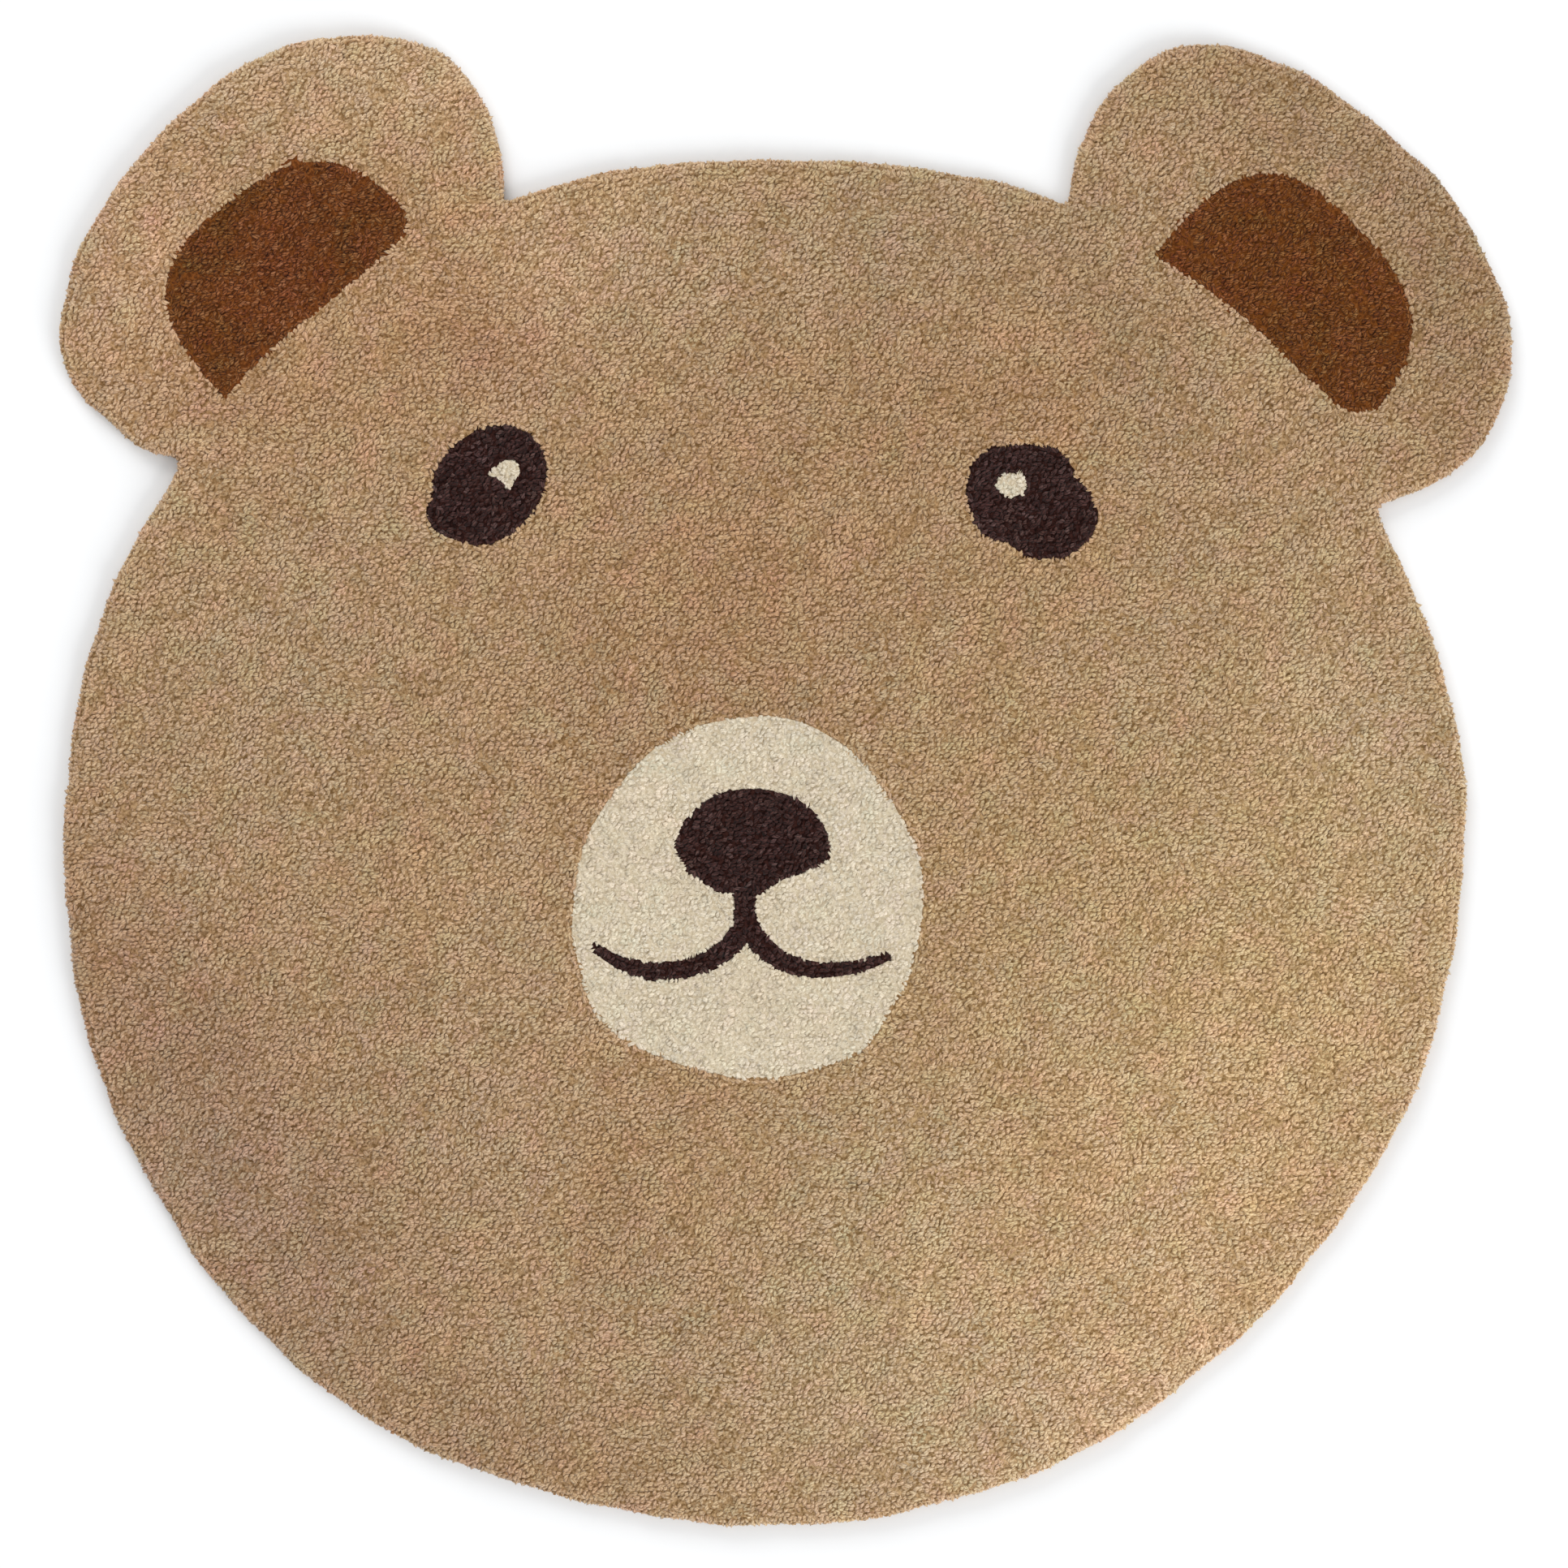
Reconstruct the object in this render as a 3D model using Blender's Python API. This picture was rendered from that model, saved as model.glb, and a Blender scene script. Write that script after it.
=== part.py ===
"""A kids rug in the shape of a bear's face: one tufted cotton piece that lies flat on the floor.

Metres, +Z up. Looking down on the rug, +X is to the right and +Y is to the crown of the head. The origin is
the middle of the underside. The rug is one closed solid: the level underside, the round shoulder of the pile
all round its cut edge, and the softly uneven top. The face is yarn of other colours in the same pile, so it
changes the material of the top's faces and leaves their height alone.
"""

import math

import bpy
import bmesh
from mathutils import Vector
from mathutils.geometry import delaunay_2d_cdt
from mathutils.kdtree import KDTree

# ---------------------------------------------------------------- driving sizes

THICKNESS = 0.0145         # ground cloth and pile together, on average
EDGE_STEP = 0.0125         # spacing of the points round the cut edge
PILE_STEP = 0.0220         # spacing of the points over the top of the pile
UNDERSIDE_STEP = 0.0800    # spacing of the points over the level underside
MOTIF_STEP = 0.0110        # spacing of the points along a change of colour
LIGHT_STEP = 0.0060        # the same round the small light in an eye
NOTCH_ROUNDING = 0.0090    # how far before a notch between head and ear its corner starts to round
CORNER_POINTS = 3          # points that round a corner
GRID_CLEARANCE = 0.62      # how near a line a point of a grid may come, as a share of the grid's spacing
FINE_STEPS = 600           # steps in which a curve is followed before its points are spaced out

# Every round shape below is given by how far it reaches from its centre in each direction. An egg has four
# half-sizes and an oval two. A power of 2 is a plain ellipse, and a higher one is squarer. Strays are where
# the hand-drawn line leaves that rule.
# Columns of strays: direction from the centre (degrees from +X), half-width (degrees), how far out (metres).

HEAD = {
    "x": -0.0225, "y": -0.0515, "right": 0.5345, "left": 0.5235, "up": 0.5260, "down": 0.5115,
    "power_up": 2.05, "power_down": 2.03,
    "strays": (
        (7.0, 12.0, 0.0060),
        (66.0, 18.0, 0.0100),
        (90.0, 11.0, -0.0045),
        (106.0, 14.0, -0.0030),
        (150.0, 15.0, -0.0045),
        (179.0, 12.0, -0.0015),
        (230.0, 18.0, 0.0035),
        (256.0, 14.0, -0.0040),
        (322.0, 30.0, -0.0060),
    ),
}

# Each ear grows out of the head. The lean turns its long side from +X (degrees).
EARS = {
    "left": {
        "x": -0.3805, "y": 0.4055, "long": 0.1900, "wide": 0.1250, "lean": 43.0, "power": 2.13,
        "strays": (
            (11.0, 20.0, 0.0050),
            (70.0, 18.0, -0.0015),
            (105.0, 25.0, 0.0020),
            (172.0, 22.0, -0.0025),
            (205.0, 14.0, 0.0040),
            (226.0, 10.0, -0.0030),
        ),
    },
    "right": {
        "x": 0.3835, "y": 0.3850, "long": 0.1945, "wide": 0.1270, "lean": -46.5, "power": 2.20,
        "strays": (
            (28.0, 25.0, 0.0035),
            (72.0, 20.0, -0.0035),
            (112.0, 22.0, 0.0030),
            (144.0, 14.0, -0.0025),
            (166.0, 12.0, 0.0050),
            (285.0, 16.0, 0.0080),
        ),
    },
}

# The small unevenness of a rug cut by hand, all round the edge.
# Columns: waves in one round, how far out (metres), start of the wave (degrees).
EDGE_WAVES = (
    (23, 0.0007, 40.0),
    (37, 0.0006, 205.0),
    (71, 0.0005, 310.0),
)

# The round shoulder of the pile, from the underside up.
# Columns: height as a share of the thickness, distance inside the cut edge (metres).
SHOULDER = (
    (0.00, 0.0030),
    (0.20, 0.0008),
    (0.45, 0.0000),
    (0.70, 0.0009),
    (0.88, 0.0036),
    (0.97, 0.0085),
    (1.00, 0.0160),
)

# Slow waves over the whole top of the pile.
# Columns: direction (degrees), length of one wave (metres), height (metres), start of the wave (degrees).
PILE_WAVES = (
    (12.0, 0.370, 0.0004, 30.0),
    (97.0, 0.290, 0.0005, 110.0),
    (148.0, 0.170, 0.0003, 250.0),
)

# Long soft troughs and ridges where the pile is trodden down or stands up. A height under zero is a trough.
# Columns: centre x, centre y, direction (degrees), half-length, half-width, height (all metres).
PILE_FOLDS = (
    (-0.130, -0.370, 84.0, 0.150, 0.032, -0.0013),
    (-0.060, -0.410, 96.0, 0.120, 0.030, 0.0009),
    (-0.395, -0.250, 52.0, 0.140, 0.035, -0.0012),
    (-0.430, -0.080, 78.0, 0.120, 0.030, 0.0008),
    (0.260, -0.300, 128.0, 0.170, 0.045, -0.0010),
    (0.360, 0.090, 70.0, 0.160, 0.040, 0.0009),
    (0.030, 0.190, 14.0, 0.200, 0.050, -0.0009),
    (-0.270, 0.060, 160.0, 0.150, 0.040, 0.0008),
    (-0.400, 0.430, 42.0, 0.110, 0.030, 0.0008),
    (0.430, 0.330, 130.0, 0.100, 0.030, -0.0008),
)

# ---------------------------------------------------------------- sizes of the face

MUZZLE = {
    "x": -0.0270, "y": -0.0900, "long": 0.1310, "wide": 0.1370, "lean": -11.0, "power": 2.12,
    "strays": (
        (30.0, 26.0, -0.0050),
        (78.0, 22.0, 0.0040),
        (138.0, 30.0, -0.0035),
        (206.0, 28.0, 0.0060),
        (254.0, 28.0, -0.0045),
        (325.0, 32.0, 0.0045),
    ),
}
NOSE = {
    "x": -0.0240, "y": -0.0500, "right": 0.0580, "left": 0.0580, "up": 0.0450, "down": 0.0360,
    "power_up": 2.05, "power_down": 1.45,
    "strays": ((226.0, 42.0, 0.0055), (312.0, 36.0, -0.0055)),
}
EYES = {
    "left": {
        "x": -0.2240, "y": 0.2235, "long": 0.0500, "wide": 0.0390, "lean": 48.0, "power": 2.05,
        "strays": ((210.0, 26.0, 0.0035), (245.0, 22.0, -0.0020)),
    },
    "right": {
        "x": 0.1850, "y": 0.2125, "long": 0.0525, "wide": 0.0395, "lean": -35.0, "power": 2.00,
        "strays": ((0.0, 26.0, -0.0020), (60.0, 28.0, 0.0035), (212.0, 26.0, 0.0030), (245.0, 24.0, -0.0030)),
    },
}
EYE_LIGHTS = {
    "left": {
        "x": -0.2090, "y": 0.2335, "long": 0.0105, "wide": 0.0090, "lean": 45.0, "power": 2.00,
        "strays": (),
    },
    "right": {
        "x": 0.1705, "y": 0.2245, "long": 0.0105, "wide": 0.0090, "lean": -20.0, "power": 2.00,
        "strays": (),
    },
}

# Each inner ear is a dome over a nearly straight side. The lean turns the dome's top from +Y (degrees), the
# bow is how far the side's middle rises into the dome, and the corner is how much of one end is rounded off.
INNER_EARS = {
    "left": {
        "x": -0.3500, "y": 0.3560, "half_side": 0.0980, "height": 0.1090,
        "power": 3.2, "lean": 43.3, "bow": 0.0, "corner": 0.0180,
    },
    "right": {
        "x": 0.3530, "y": 0.3325, "half_side": 0.1025, "height": 0.1165,
        "power": 3.0, "lean": -39.5, "bow": 0.0055, "corner": 0.0280,
    },
}

# The drawn lines under the nose: a start, a point that bends the line, an end, and the width at both ends.
# Columns: start x, start y, bend x, bend y, end x, end y, width at the start, width at the end.
LINES = {
    "stem": (-0.0298, -0.0700, -0.0298, -0.0920, -0.0298, -0.1130, 0.0190, 0.0190),
    "mouth_left": (-0.0290, -0.1050, -0.0580, -0.1680, -0.1450, -0.1225, 0.0170, 0.0030),
    "mouth_right": (-0.0290, -0.1050, -0.0020, -0.1620, 0.0830, -0.1310, 0.0170, 0.0030),
}
LINE_STEPS = 10            # stretches along each drawn line
LINE_FULLNESS = 0.45       # a power under 1 keeps a drawn line wide until shortly before its end

# ---------------------------------------------------------------- yarns

# Columns: base colour (linear red, green, blue), roughness, metallic.
YARNS = {
    "tan_pile": ((0.396, 0.266, 0.149), 0.95, 0.0),
    "cream_pile": ((0.665, 0.570, 0.415), 0.95, 0.0),
    "dark_brown_pile": ((0.036, 0.017, 0.014), 0.95, 0.0),
    "rust_brown_pile": ((0.144, 0.045, 0.014), 0.95, 0.0),
}


def make_yarn(name):
    """A matte yarn, as a plain Principled material."""
    colour, roughness, metallic = YARNS[name]
    yarn = bpy.data.materials.new(name)
    yarn.use_nodes = True
    shader = yarn.node_tree.nodes["Principled BSDF"]
    shader.inputs["Base Color"].default_value = (*colour, 1.0)
    shader.inputs["Roughness"].default_value = roughness
    shader.inputs["Metallic"].default_value = metallic
    yarn.diffuse_color = (*colour, 1.0)
    return yarn


# ---------------------------------------------------------------- plane curves


def reach(half_x, half_y, power, degrees):
    """How far a rounded shape of two half-sizes reaches in a direction from its centre."""
    across, along = math.cos(math.radians(degrees)), math.sin(math.radians(degrees))
    return (abs(across / half_x) ** power + abs(along / half_y) ** power) ** (-1.0 / power)


def hand_drawn(shape, radius, degrees):
    """The point at a radius and direction from a shape's centre, moved out or in by the shape's strays."""
    for middle, half_width, height in shape["strays"]:
        apart = abs((degrees - middle + 180.0) % 360.0 - 180.0)
        if apart < half_width:
            radius += height * 0.5 * (1.0 + math.cos(math.pi * apart / half_width))
    turn = math.radians(degrees)
    return Vector((shape["x"] + radius * math.cos(turn), shape["y"] + radius * math.sin(turn)))


def egg_point(egg, degrees):
    """A point of an egg with four half-sizes, in a direction from its centre."""
    half_x = egg["right"] if math.cos(math.radians(degrees)) > 0.0 else egg["left"]
    upper = math.sin(math.radians(degrees)) > 0.0
    half_y, power = (egg["up"], egg["power_up"]) if upper else (egg["down"], egg["power_down"])
    return hand_drawn(egg, reach(half_x, half_y, power, degrees), degrees)


def oval_point(oval, degrees):
    """A point of a leaning oval, in a direction from its centre."""
    return hand_drawn(oval, reach(oval["long"], oval["wide"], oval["power"], degrees - oval["lean"]), degrees)


def head_point(degrees):
    """A point of the head's cut edge, where no ear hides it."""
    return egg_point(HEAD, degrees)


def inside(curve, centre, point):
    """Whether a point lies inside a curve that is given by direction from its centre."""
    away = point - centre
    return away.length < (curve(math.degrees(math.atan2(away.y, away.x))) - centre).length


def crossing(curve, clear, buried, hidden):
    """The direction at which a curve goes under another one, between a clear and a buried direction."""
    for _ in range(40):
        middle = 0.5 * (clear + buried)
        if hidden(curve(middle)):
            buried = middle
        else:
            clear = middle
    return clear


def even_points(line, spacing, skip=0.0):
    """Points at even spacing along a finely drawn line, from skip after its start to skip before its end."""
    reached = [0.0]
    for first, second in zip(line, line[1:]):
        reached.append(reached[-1] + (second - first).length)
    usable = reached[-1] - 2.0 * skip
    count = max(2, round(usable / spacing))
    points = []
    at = 0
    for step in range(count + 1):
        wanted = skip + usable * step / count
        while at < len(line) - 2 and reached[at + 1] < wanted:
            at += 1
        share = (wanted - reached[at]) / (reached[at + 1] - reached[at])
        points.append(line[at].lerp(line[at + 1], share))
    return points


def drawn(curve, start, end):
    """A finely drawn stretch of a curve, from one direction to another."""
    return [curve(start + (end - start) * step / FINE_STEPS) for step in range(FINE_STEPS + 1)]


def bent(start, bend, end, share):
    """A point of the smooth line from start to end that leans towards bend."""
    return start.lerp(bend, share).lerp(bend.lerp(end, share), share)


def rounded_corner(before, corner, after):
    """The points that lead from one line to the next where their corner is rounded off."""
    shares = [step / (CORNER_POINTS + 1) for step in range(1, CORNER_POINTS + 1)]
    return [bent(before, corner, after, share) for share in shares]


# ---------------------------------------------------------------- the cut edge


def outward(loop, at):
    """The direction square to a counter-clockwise loop, away from what it encloses."""
    along = loop[(at + 1) % len(loop)] - loop[at - 1]
    return Vector((along.y, -along.x)).normalized()


def cut_edge():
    """The rug's outline, counter-clockwise, as the head and the ears make it with notches between."""
    head_centre = Vector((HEAD["x"], HEAD["y"]))

    def under_head(point):
        return inside(head_point, head_centre, point)

    def ear_curve(side):
        return lambda degrees: oval_point(EARS[side], degrees)

    def under_ear(side):
        centre = Vector((EARS[side]["x"], EARS[side]["y"]))
        return lambda point: inside(ear_curve(side), centre, point)

    # Directions seen from the head's centre: right ear near 47, left ear near 128, all clear at 90 and 270.
    right_low = crossing(head_point, 0.0, 47.0, under_ear("right"))
    right_top = crossing(head_point, 90.0, 47.0, under_ear("right"))
    left_top = crossing(head_point, 90.0, 128.0, under_ear("left"))
    left_low = crossing(head_point, 180.0, 128.0, under_ear("left"))

    # Each ear is clear on the side away from the head and buried on the side towards it.
    stretches = []
    for side, clear, buried, head_start, head_end in (
        ("right", 45.0, 225.0, right_top, left_top),
        ("left", 135.0, 315.0, left_low, right_low + 360.0),
    ):
        curve = ear_curve(side)
        ear_start = crossing(curve, clear, buried - 360.0, under_head)
        ear_end = crossing(curve, clear, buried, under_head)
        stretches.append(drawn(curve, ear_start, ear_end))
        stretches.append(drawn(head_point, head_start, head_end))

    runs = [even_points(stretch, EDGE_STEP, NOTCH_ROUNDING) for stretch in stretches]
    edge = []
    for run, stretch, next_run in zip(runs, stretches, runs[1:] + runs[:1]):
        edge += run + rounded_corner(run[-1], stretch[-1], next_run[0])

    waved = []
    for at, point in enumerate(edge):
        turn = 2.0 * math.pi * at / len(edge)
        out = 0.0
        for count, height, start in EDGE_WAVES:
            out += height * math.sin(count * turn + math.radians(start))
        waved.append(point + outward(edge, at) * out)
    return waved


# ---------------------------------------------------------------- the face


def closed_loop(curve, spacing=MOTIF_STEP):
    """A closed curve as evenly spaced points, with the last point left off where it meets the first."""
    return even_points(drawn(curve, 0.0, 360.0), spacing)[:-1]


def inner_ear_loop(ear):
    """The dome of an inner ear, its nearly straight side, and the rounded corner where they meet."""
    lean = math.radians(ear["lean"])
    up = Vector((-math.sin(lean), math.cos(lean)))
    right = Vector((math.cos(lean), math.sin(lean)))
    middle = Vector((ear["x"], ear["y"]))
    half_side = ear["half_side"]
    corner_turn = math.degrees(ear["corner"] / half_side)
    corner_share = 0.5 * ear["corner"] / half_side

    def dome(degrees):
        radius = reach(half_side, ear["height"], ear["power"], degrees)
        turn = math.radians(degrees)
        return middle + right * (radius * math.cos(turn)) + up * (radius * math.sin(turn))

    def side(share):
        bow = ear["bow"] * math.sin(math.pi * share)
        return middle + right * (half_side * (2.0 * share - 1.0)) + up * bow

    domed = even_points(drawn(dome, corner_turn, 180.0), MOTIF_STEP)
    straight = even_points(drawn(side, 0.0, 1.0 - corner_share), MOTIF_STEP)
    return domed[:-1] + straight + rounded_corner(straight[-1], side(1.0), domed[0])


def line_loop(line):
    """A drawn line of changing width, as the loop round it."""
    start, bend, end = Vector(line[0:2]), Vector(line[2:4]), Vector(line[4:6])
    width_start, width_end = line[6:8]
    left_side, right_side = [], []
    for step in range(LINE_STEPS + 1):
        share = step / LINE_STEPS
        along = ((bend - start) * (1.0 - share) + (end - bend) * share).normalized()
        across = Vector((-along.y, along.x))
        half = 0.5 * (width_end + (width_start - width_end) * (1.0 - share) ** LINE_FULLNESS)
        middle = bent(start, bend, end, share)
        left_side.append(middle + across * half)
        right_side.append(middle - across * half)
    return right_side + left_side[::-1]


def face_areas():
    """Each area of other yarn as its material's name and its loop, in the order in which they are laid on."""
    areas = [("cream_pile", closed_loop(lambda degrees: oval_point(MUZZLE, degrees)))]
    areas.append(("dark_brown_pile", closed_loop(lambda degrees: egg_point(NOSE, degrees))))
    for line in LINES.values():
        areas.append(("dark_brown_pile", line_loop(line)))
    for eye in EYES.values():
        areas.append(("dark_brown_pile", closed_loop(lambda degrees: oval_point(eye, degrees))))
    for light in EYE_LIGHTS.values():
        areas.append(("cream_pile", closed_loop(lambda degrees: oval_point(light, degrees), LIGHT_STEP)))
    for ear in INNER_EARS.values():
        areas.append(("rust_brown_pile", inner_ear_loop(ear)))
    return areas


# ---------------------------------------------------------------- the solid


def pile_height(point):
    """The height of the top of the pile over the floor: the thickness with its waves, troughs and ridges."""
    height = THICKNESS
    for direction, length, rise, start in PILE_WAVES:
        heading = math.radians(direction)
        travelled = point.x * math.cos(heading) + point.y * math.sin(heading)
        height += rise * math.sin(2.0 * math.pi * travelled / length + math.radians(start))
    for x, y, direction, half_length, half_width, rise in PILE_FOLDS:
        heading = math.radians(direction)
        away_x, away_y = point.x - x, point.y - y
        along = (away_x * math.cos(heading) + away_y * math.sin(heading)) / half_length
        across = (away_y * math.cos(heading) - away_x * math.sin(heading)) / half_width
        height += rise * math.exp(-along * along - across * across)
    return height


def scattered(loops, spacing):
    """Points on a triangular grid that keep their distance from the loops they will be joined to."""
    fixed = [point for loop in loops for point in loop]
    near = KDTree(len(fixed))
    for at, point in enumerate(fixed):
        near.insert(point.to_3d(), at)
    near.balance()
    reach_x = max(abs(point.x) for point in fixed)
    reach_y = max(abs(point.y) for point in fixed)
    row_height = spacing * math.sqrt(0.75)
    rows, columns = int(reach_y / row_height), int(reach_x / spacing)
    points = []
    for row in range(-rows, rows + 1):
        for column in range(-columns, columns + 1):
            point = Vector(((column + 0.5 * (row % 2)) * spacing, row * row_height))
            if near.find(point.to_3d())[2] > GRID_CLEARANCE * spacing:
                points.append(point)
    return points


def cover(mesh, ring, areas, spacing, height_of, facing_up):
    """Fills a ring with triangles that follow the loops laid on it, and gives each its area's material.

    The ring is loop 0 and the areas are the loops after it, so a triangle belongs to its highest loop.
    """
    loops = [[corner.co.to_2d() for corner in ring]] + [loop for _, loop in areas]
    points = [point for loop in loops for point in loop]
    faces, first = [], 0
    for loop in loops:
        faces.append(list(range(first, first + len(loop))))
        first += len(loop)
    points += scattered(loops, spacing)
    only_inside, same_point = 1, 1e-6
    flat, _, triangles, sources, _, owners = delaunay_2d_cdt(points, [], faces, only_inside, same_point)
    corners = {}
    for at, source in enumerate(sources):
        on_ring = [index for index in source if index < len(ring)]
        if on_ring:
            corners[at] = ring[on_ring[0]]
    for triangle, owner in zip(triangles, owners):
        for at in triangle:
            if at not in corners:
                corners[at] = mesh.verts.new((flat[at].x, flat[at].y, height_of(flat[at])))
        order = triangle if facing_up else triangle[::-1]
        face = mesh.faces.new([corners[at] for at in order])
        highest = max(owner)
        yarn = areas[highest - 1][0] if highest else "tan_pile"
        face.material_index = list(YARNS).index(yarn)


def make_rug():
    """The whole rug as one closed object, centred over the origin."""
    edge = cut_edge()
    areas = face_areas()
    low = Vector((min(point.x for point in edge), min(point.y for point in edge)))
    high = Vector((max(point.x for point in edge), max(point.y for point in edge)))
    centre = 0.5 * (low + high)
    edge = [point - centre for point in edge]
    areas = [(yarn, [point - centre for point in loop]) for yarn, loop in areas]

    mesh = bmesh.new()
    rings = []
    for share, inset in SHOULDER:
        ring = []
        for at, point in enumerate(edge):
            place = point - outward(edge, at) * inset
            ring.append(mesh.verts.new((place.x, place.y, share * pile_height(place))))
        rings.append(ring)
    for lower, upper in zip(rings, rings[1:]):
        for at in range(len(edge)):
            after = (at + 1) % len(edge)
            mesh.faces.new((lower[at], lower[after], upper[after], upper[at]))
    cover(mesh, rings[-1], areas, PILE_STEP, pile_height, facing_up=True)
    cover(mesh, rings[0], [], UNDERSIDE_STEP, lambda point: 0.0, facing_up=False)

    data = bpy.data.meshes.new("tufted_rug")
    for name in YARNS:
        data.materials.append(make_yarn(name))
    mesh.to_mesh(data)
    mesh.free()
    data.shade_smooth()
    data.set_sharp_from_angle(angle=math.radians(60.0))
    rug = bpy.data.objects.new("tufted_rug", data)
    bpy.context.scene.collection.objects.link(rug)
    return rug


def main():
    for old in list(bpy.data.objects):
        bpy.data.objects.remove(old)
    make_rug()


main()
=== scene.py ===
# %% [markdown]
# # A kids rug in the shape of a bear's face
#
# The real rug is one piece of tufted cotton. A tufting tool punches short locks of soft, loosely
# twisted yarn into a ground cloth, row beside row, and the cloth is cut to the outline of a bear's
# head. The face isn't sewn on: it is the same pile in other colours.
#
# This lesson starts from the solid rug, which fixes every size, and plants real locks of yarn on it.
# One lock is modelled by hand and copied more than ninety thousand times. A picture of pile on a flat
# slab would be cheaper, but it has no fuzzy rim, no gaps between the locks and no shadow in them, and
# those are what the eye knows pile by.

# %% Load the solid rug as a fixed frame
import math

import bpy
import numpy as np
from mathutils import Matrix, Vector, noise
from mathutils.bvhtree import BVHTree
from mathutils.kdtree import KDTree


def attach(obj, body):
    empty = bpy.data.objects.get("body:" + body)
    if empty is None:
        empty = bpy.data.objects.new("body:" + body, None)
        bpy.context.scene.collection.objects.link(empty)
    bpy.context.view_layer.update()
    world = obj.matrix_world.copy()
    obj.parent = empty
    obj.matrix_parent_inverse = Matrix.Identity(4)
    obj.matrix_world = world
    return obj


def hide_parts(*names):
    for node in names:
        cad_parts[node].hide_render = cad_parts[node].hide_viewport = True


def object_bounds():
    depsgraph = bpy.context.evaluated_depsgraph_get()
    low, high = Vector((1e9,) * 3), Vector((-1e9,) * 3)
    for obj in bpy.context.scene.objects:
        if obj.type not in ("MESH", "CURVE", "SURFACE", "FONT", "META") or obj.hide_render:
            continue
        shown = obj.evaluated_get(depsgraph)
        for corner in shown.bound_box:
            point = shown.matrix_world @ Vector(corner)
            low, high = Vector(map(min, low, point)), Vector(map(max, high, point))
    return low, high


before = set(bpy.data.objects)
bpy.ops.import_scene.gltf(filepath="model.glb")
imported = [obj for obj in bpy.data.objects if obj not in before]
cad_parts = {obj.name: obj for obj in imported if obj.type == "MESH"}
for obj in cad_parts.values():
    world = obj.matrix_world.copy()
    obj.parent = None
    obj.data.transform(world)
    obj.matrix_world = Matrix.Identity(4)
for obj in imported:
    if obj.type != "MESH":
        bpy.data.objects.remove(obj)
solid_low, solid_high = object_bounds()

solid_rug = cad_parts["tufted_rug"]
rug_size = solid_high - solid_low
print(f"the rug is {rug_size.x:.3f} m wide, {rug_size.y:.3f} m high and {rug_size.z * 1000:.1f} mm thick")

# %% [markdown]
# ## The camera
#
# A rug like this is photographed from straight above, so that its outline isn't foreshortened. A camera
# in Blender looks down its own -Z with +Y up, so one that hangs over the rug needs no turning at all.
# Its distance follows from the lens: the frame is to be a little wider than the rug.

# %% Hang the camera over the rug
FRAME_WIDTH = 1.188        # what the picture takes in, from side to side (metres)
FRAME_MIDDLE = (-0.0010, -0.0026)
LENS, SENSOR = 85.0, 36.0  # millimetres
camera_height = FRAME_WIDTH * LENS / SENSOR

bpy.ops.object.select_all(action="DESELECT")
bpy.ops.object.camera_add(location=(*FRAME_MIDDLE, camera_height), rotation=(0.0, 0.0, 0.0))
camera = bpy.context.active_object
camera.name = "camera_above"
camera.data.lens = LENS
camera.data.sensor_width = SENSOR
bpy.context.scene.camera = camera
print(f"the camera hangs {camera_height:.2f} m over the floor")

# %% [markdown]
# ## Helpers for working as by hand
#
# An operator acts on whatever is selected, so each step first says what that is. These helpers select
# one object, open and close its edit mode, and select corners by a rule about their place.

# %% Select, open and close
def only(obj):
    """Selects one object alone and makes it the active one."""
    bpy.ops.object.select_all(action="DESELECT")
    obj.select_set(True)
    bpy.context.view_layer.objects.active = obj


def open_mesh(obj):
    """Opens an object's edit mode with everything in it selected."""
    only(obj)
    bpy.ops.object.mode_set(mode="EDIT")
    bpy.ops.mesh.select_mode(type="VERT")
    bpy.ops.mesh.select_all(action="SELECT")


def pick(obj, rule):
    """In edit mode, selects exactly the corners whose place meets a rule."""
    bpy.ops.mesh.select_all(action="DESELECT")
    bpy.ops.object.mode_set(mode="OBJECT")
    for corner in obj.data.vertices:
        corner.select = rule(corner.co)
    bpy.ops.object.mode_set(mode="EDIT")


def close_mesh():
    """Goes back to object mode."""
    bpy.ops.object.mode_set(mode="OBJECT")


# %% [markdown]
# ## The ground
#
# Under the locks lies the ground: the cloth with the dense lower part of the pile. It has the rug's own
# shape, only smaller, so a copy of the solid is merged and then pulled in along its normals by the part
# of the pile that stands free. Its underside stays level on the floor.

# %% Make the ground from a copy of the solid
FREE_PILE = 0.0019         # how far the tips stand out from the dense part of the pile
LEVEL = 0.0005             # corners lower than this belong to the level underside

ground = bpy.data.objects.new("rug_ground", solid_rug.data.copy())
bpy.context.scene.collection.objects.link(ground)
open_mesh(ground)
bpy.ops.mesh.customdata_custom_splitnormals_clear()
bpy.ops.mesh.remove_doubles(threshold=0.00001)
close_mesh()
merged_rug = ground.data.copy()

open_mesh(ground)
pick(ground, lambda place: place.z > LEVEL)
bpy.ops.transform.shrink_fatten(value=-FREE_PILE)
close_mesh()
ground_top = max(corner.co.z for corner in ground.data.vertices)
print(f"the ground has {len(ground.data.polygons)} faces and its top is at {ground_top * 1000:.1f} mm")

# %% [markdown]
# ## One lock of yarn
#
# A lock is a few millimetres of soft yarn that rises from the ground and bends over at its tip. Seen
# from above it is a small bean. It starts as a five-sided cone with its point down, the root. Its open
# end is drawn out to the length of the bean, and its cap is poked: that puts a corner in the cap's
# middle and lifts it for the round back. That makes ten triangles, enough for so small a bean and few
# enough for tens of thousands of copies.

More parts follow.
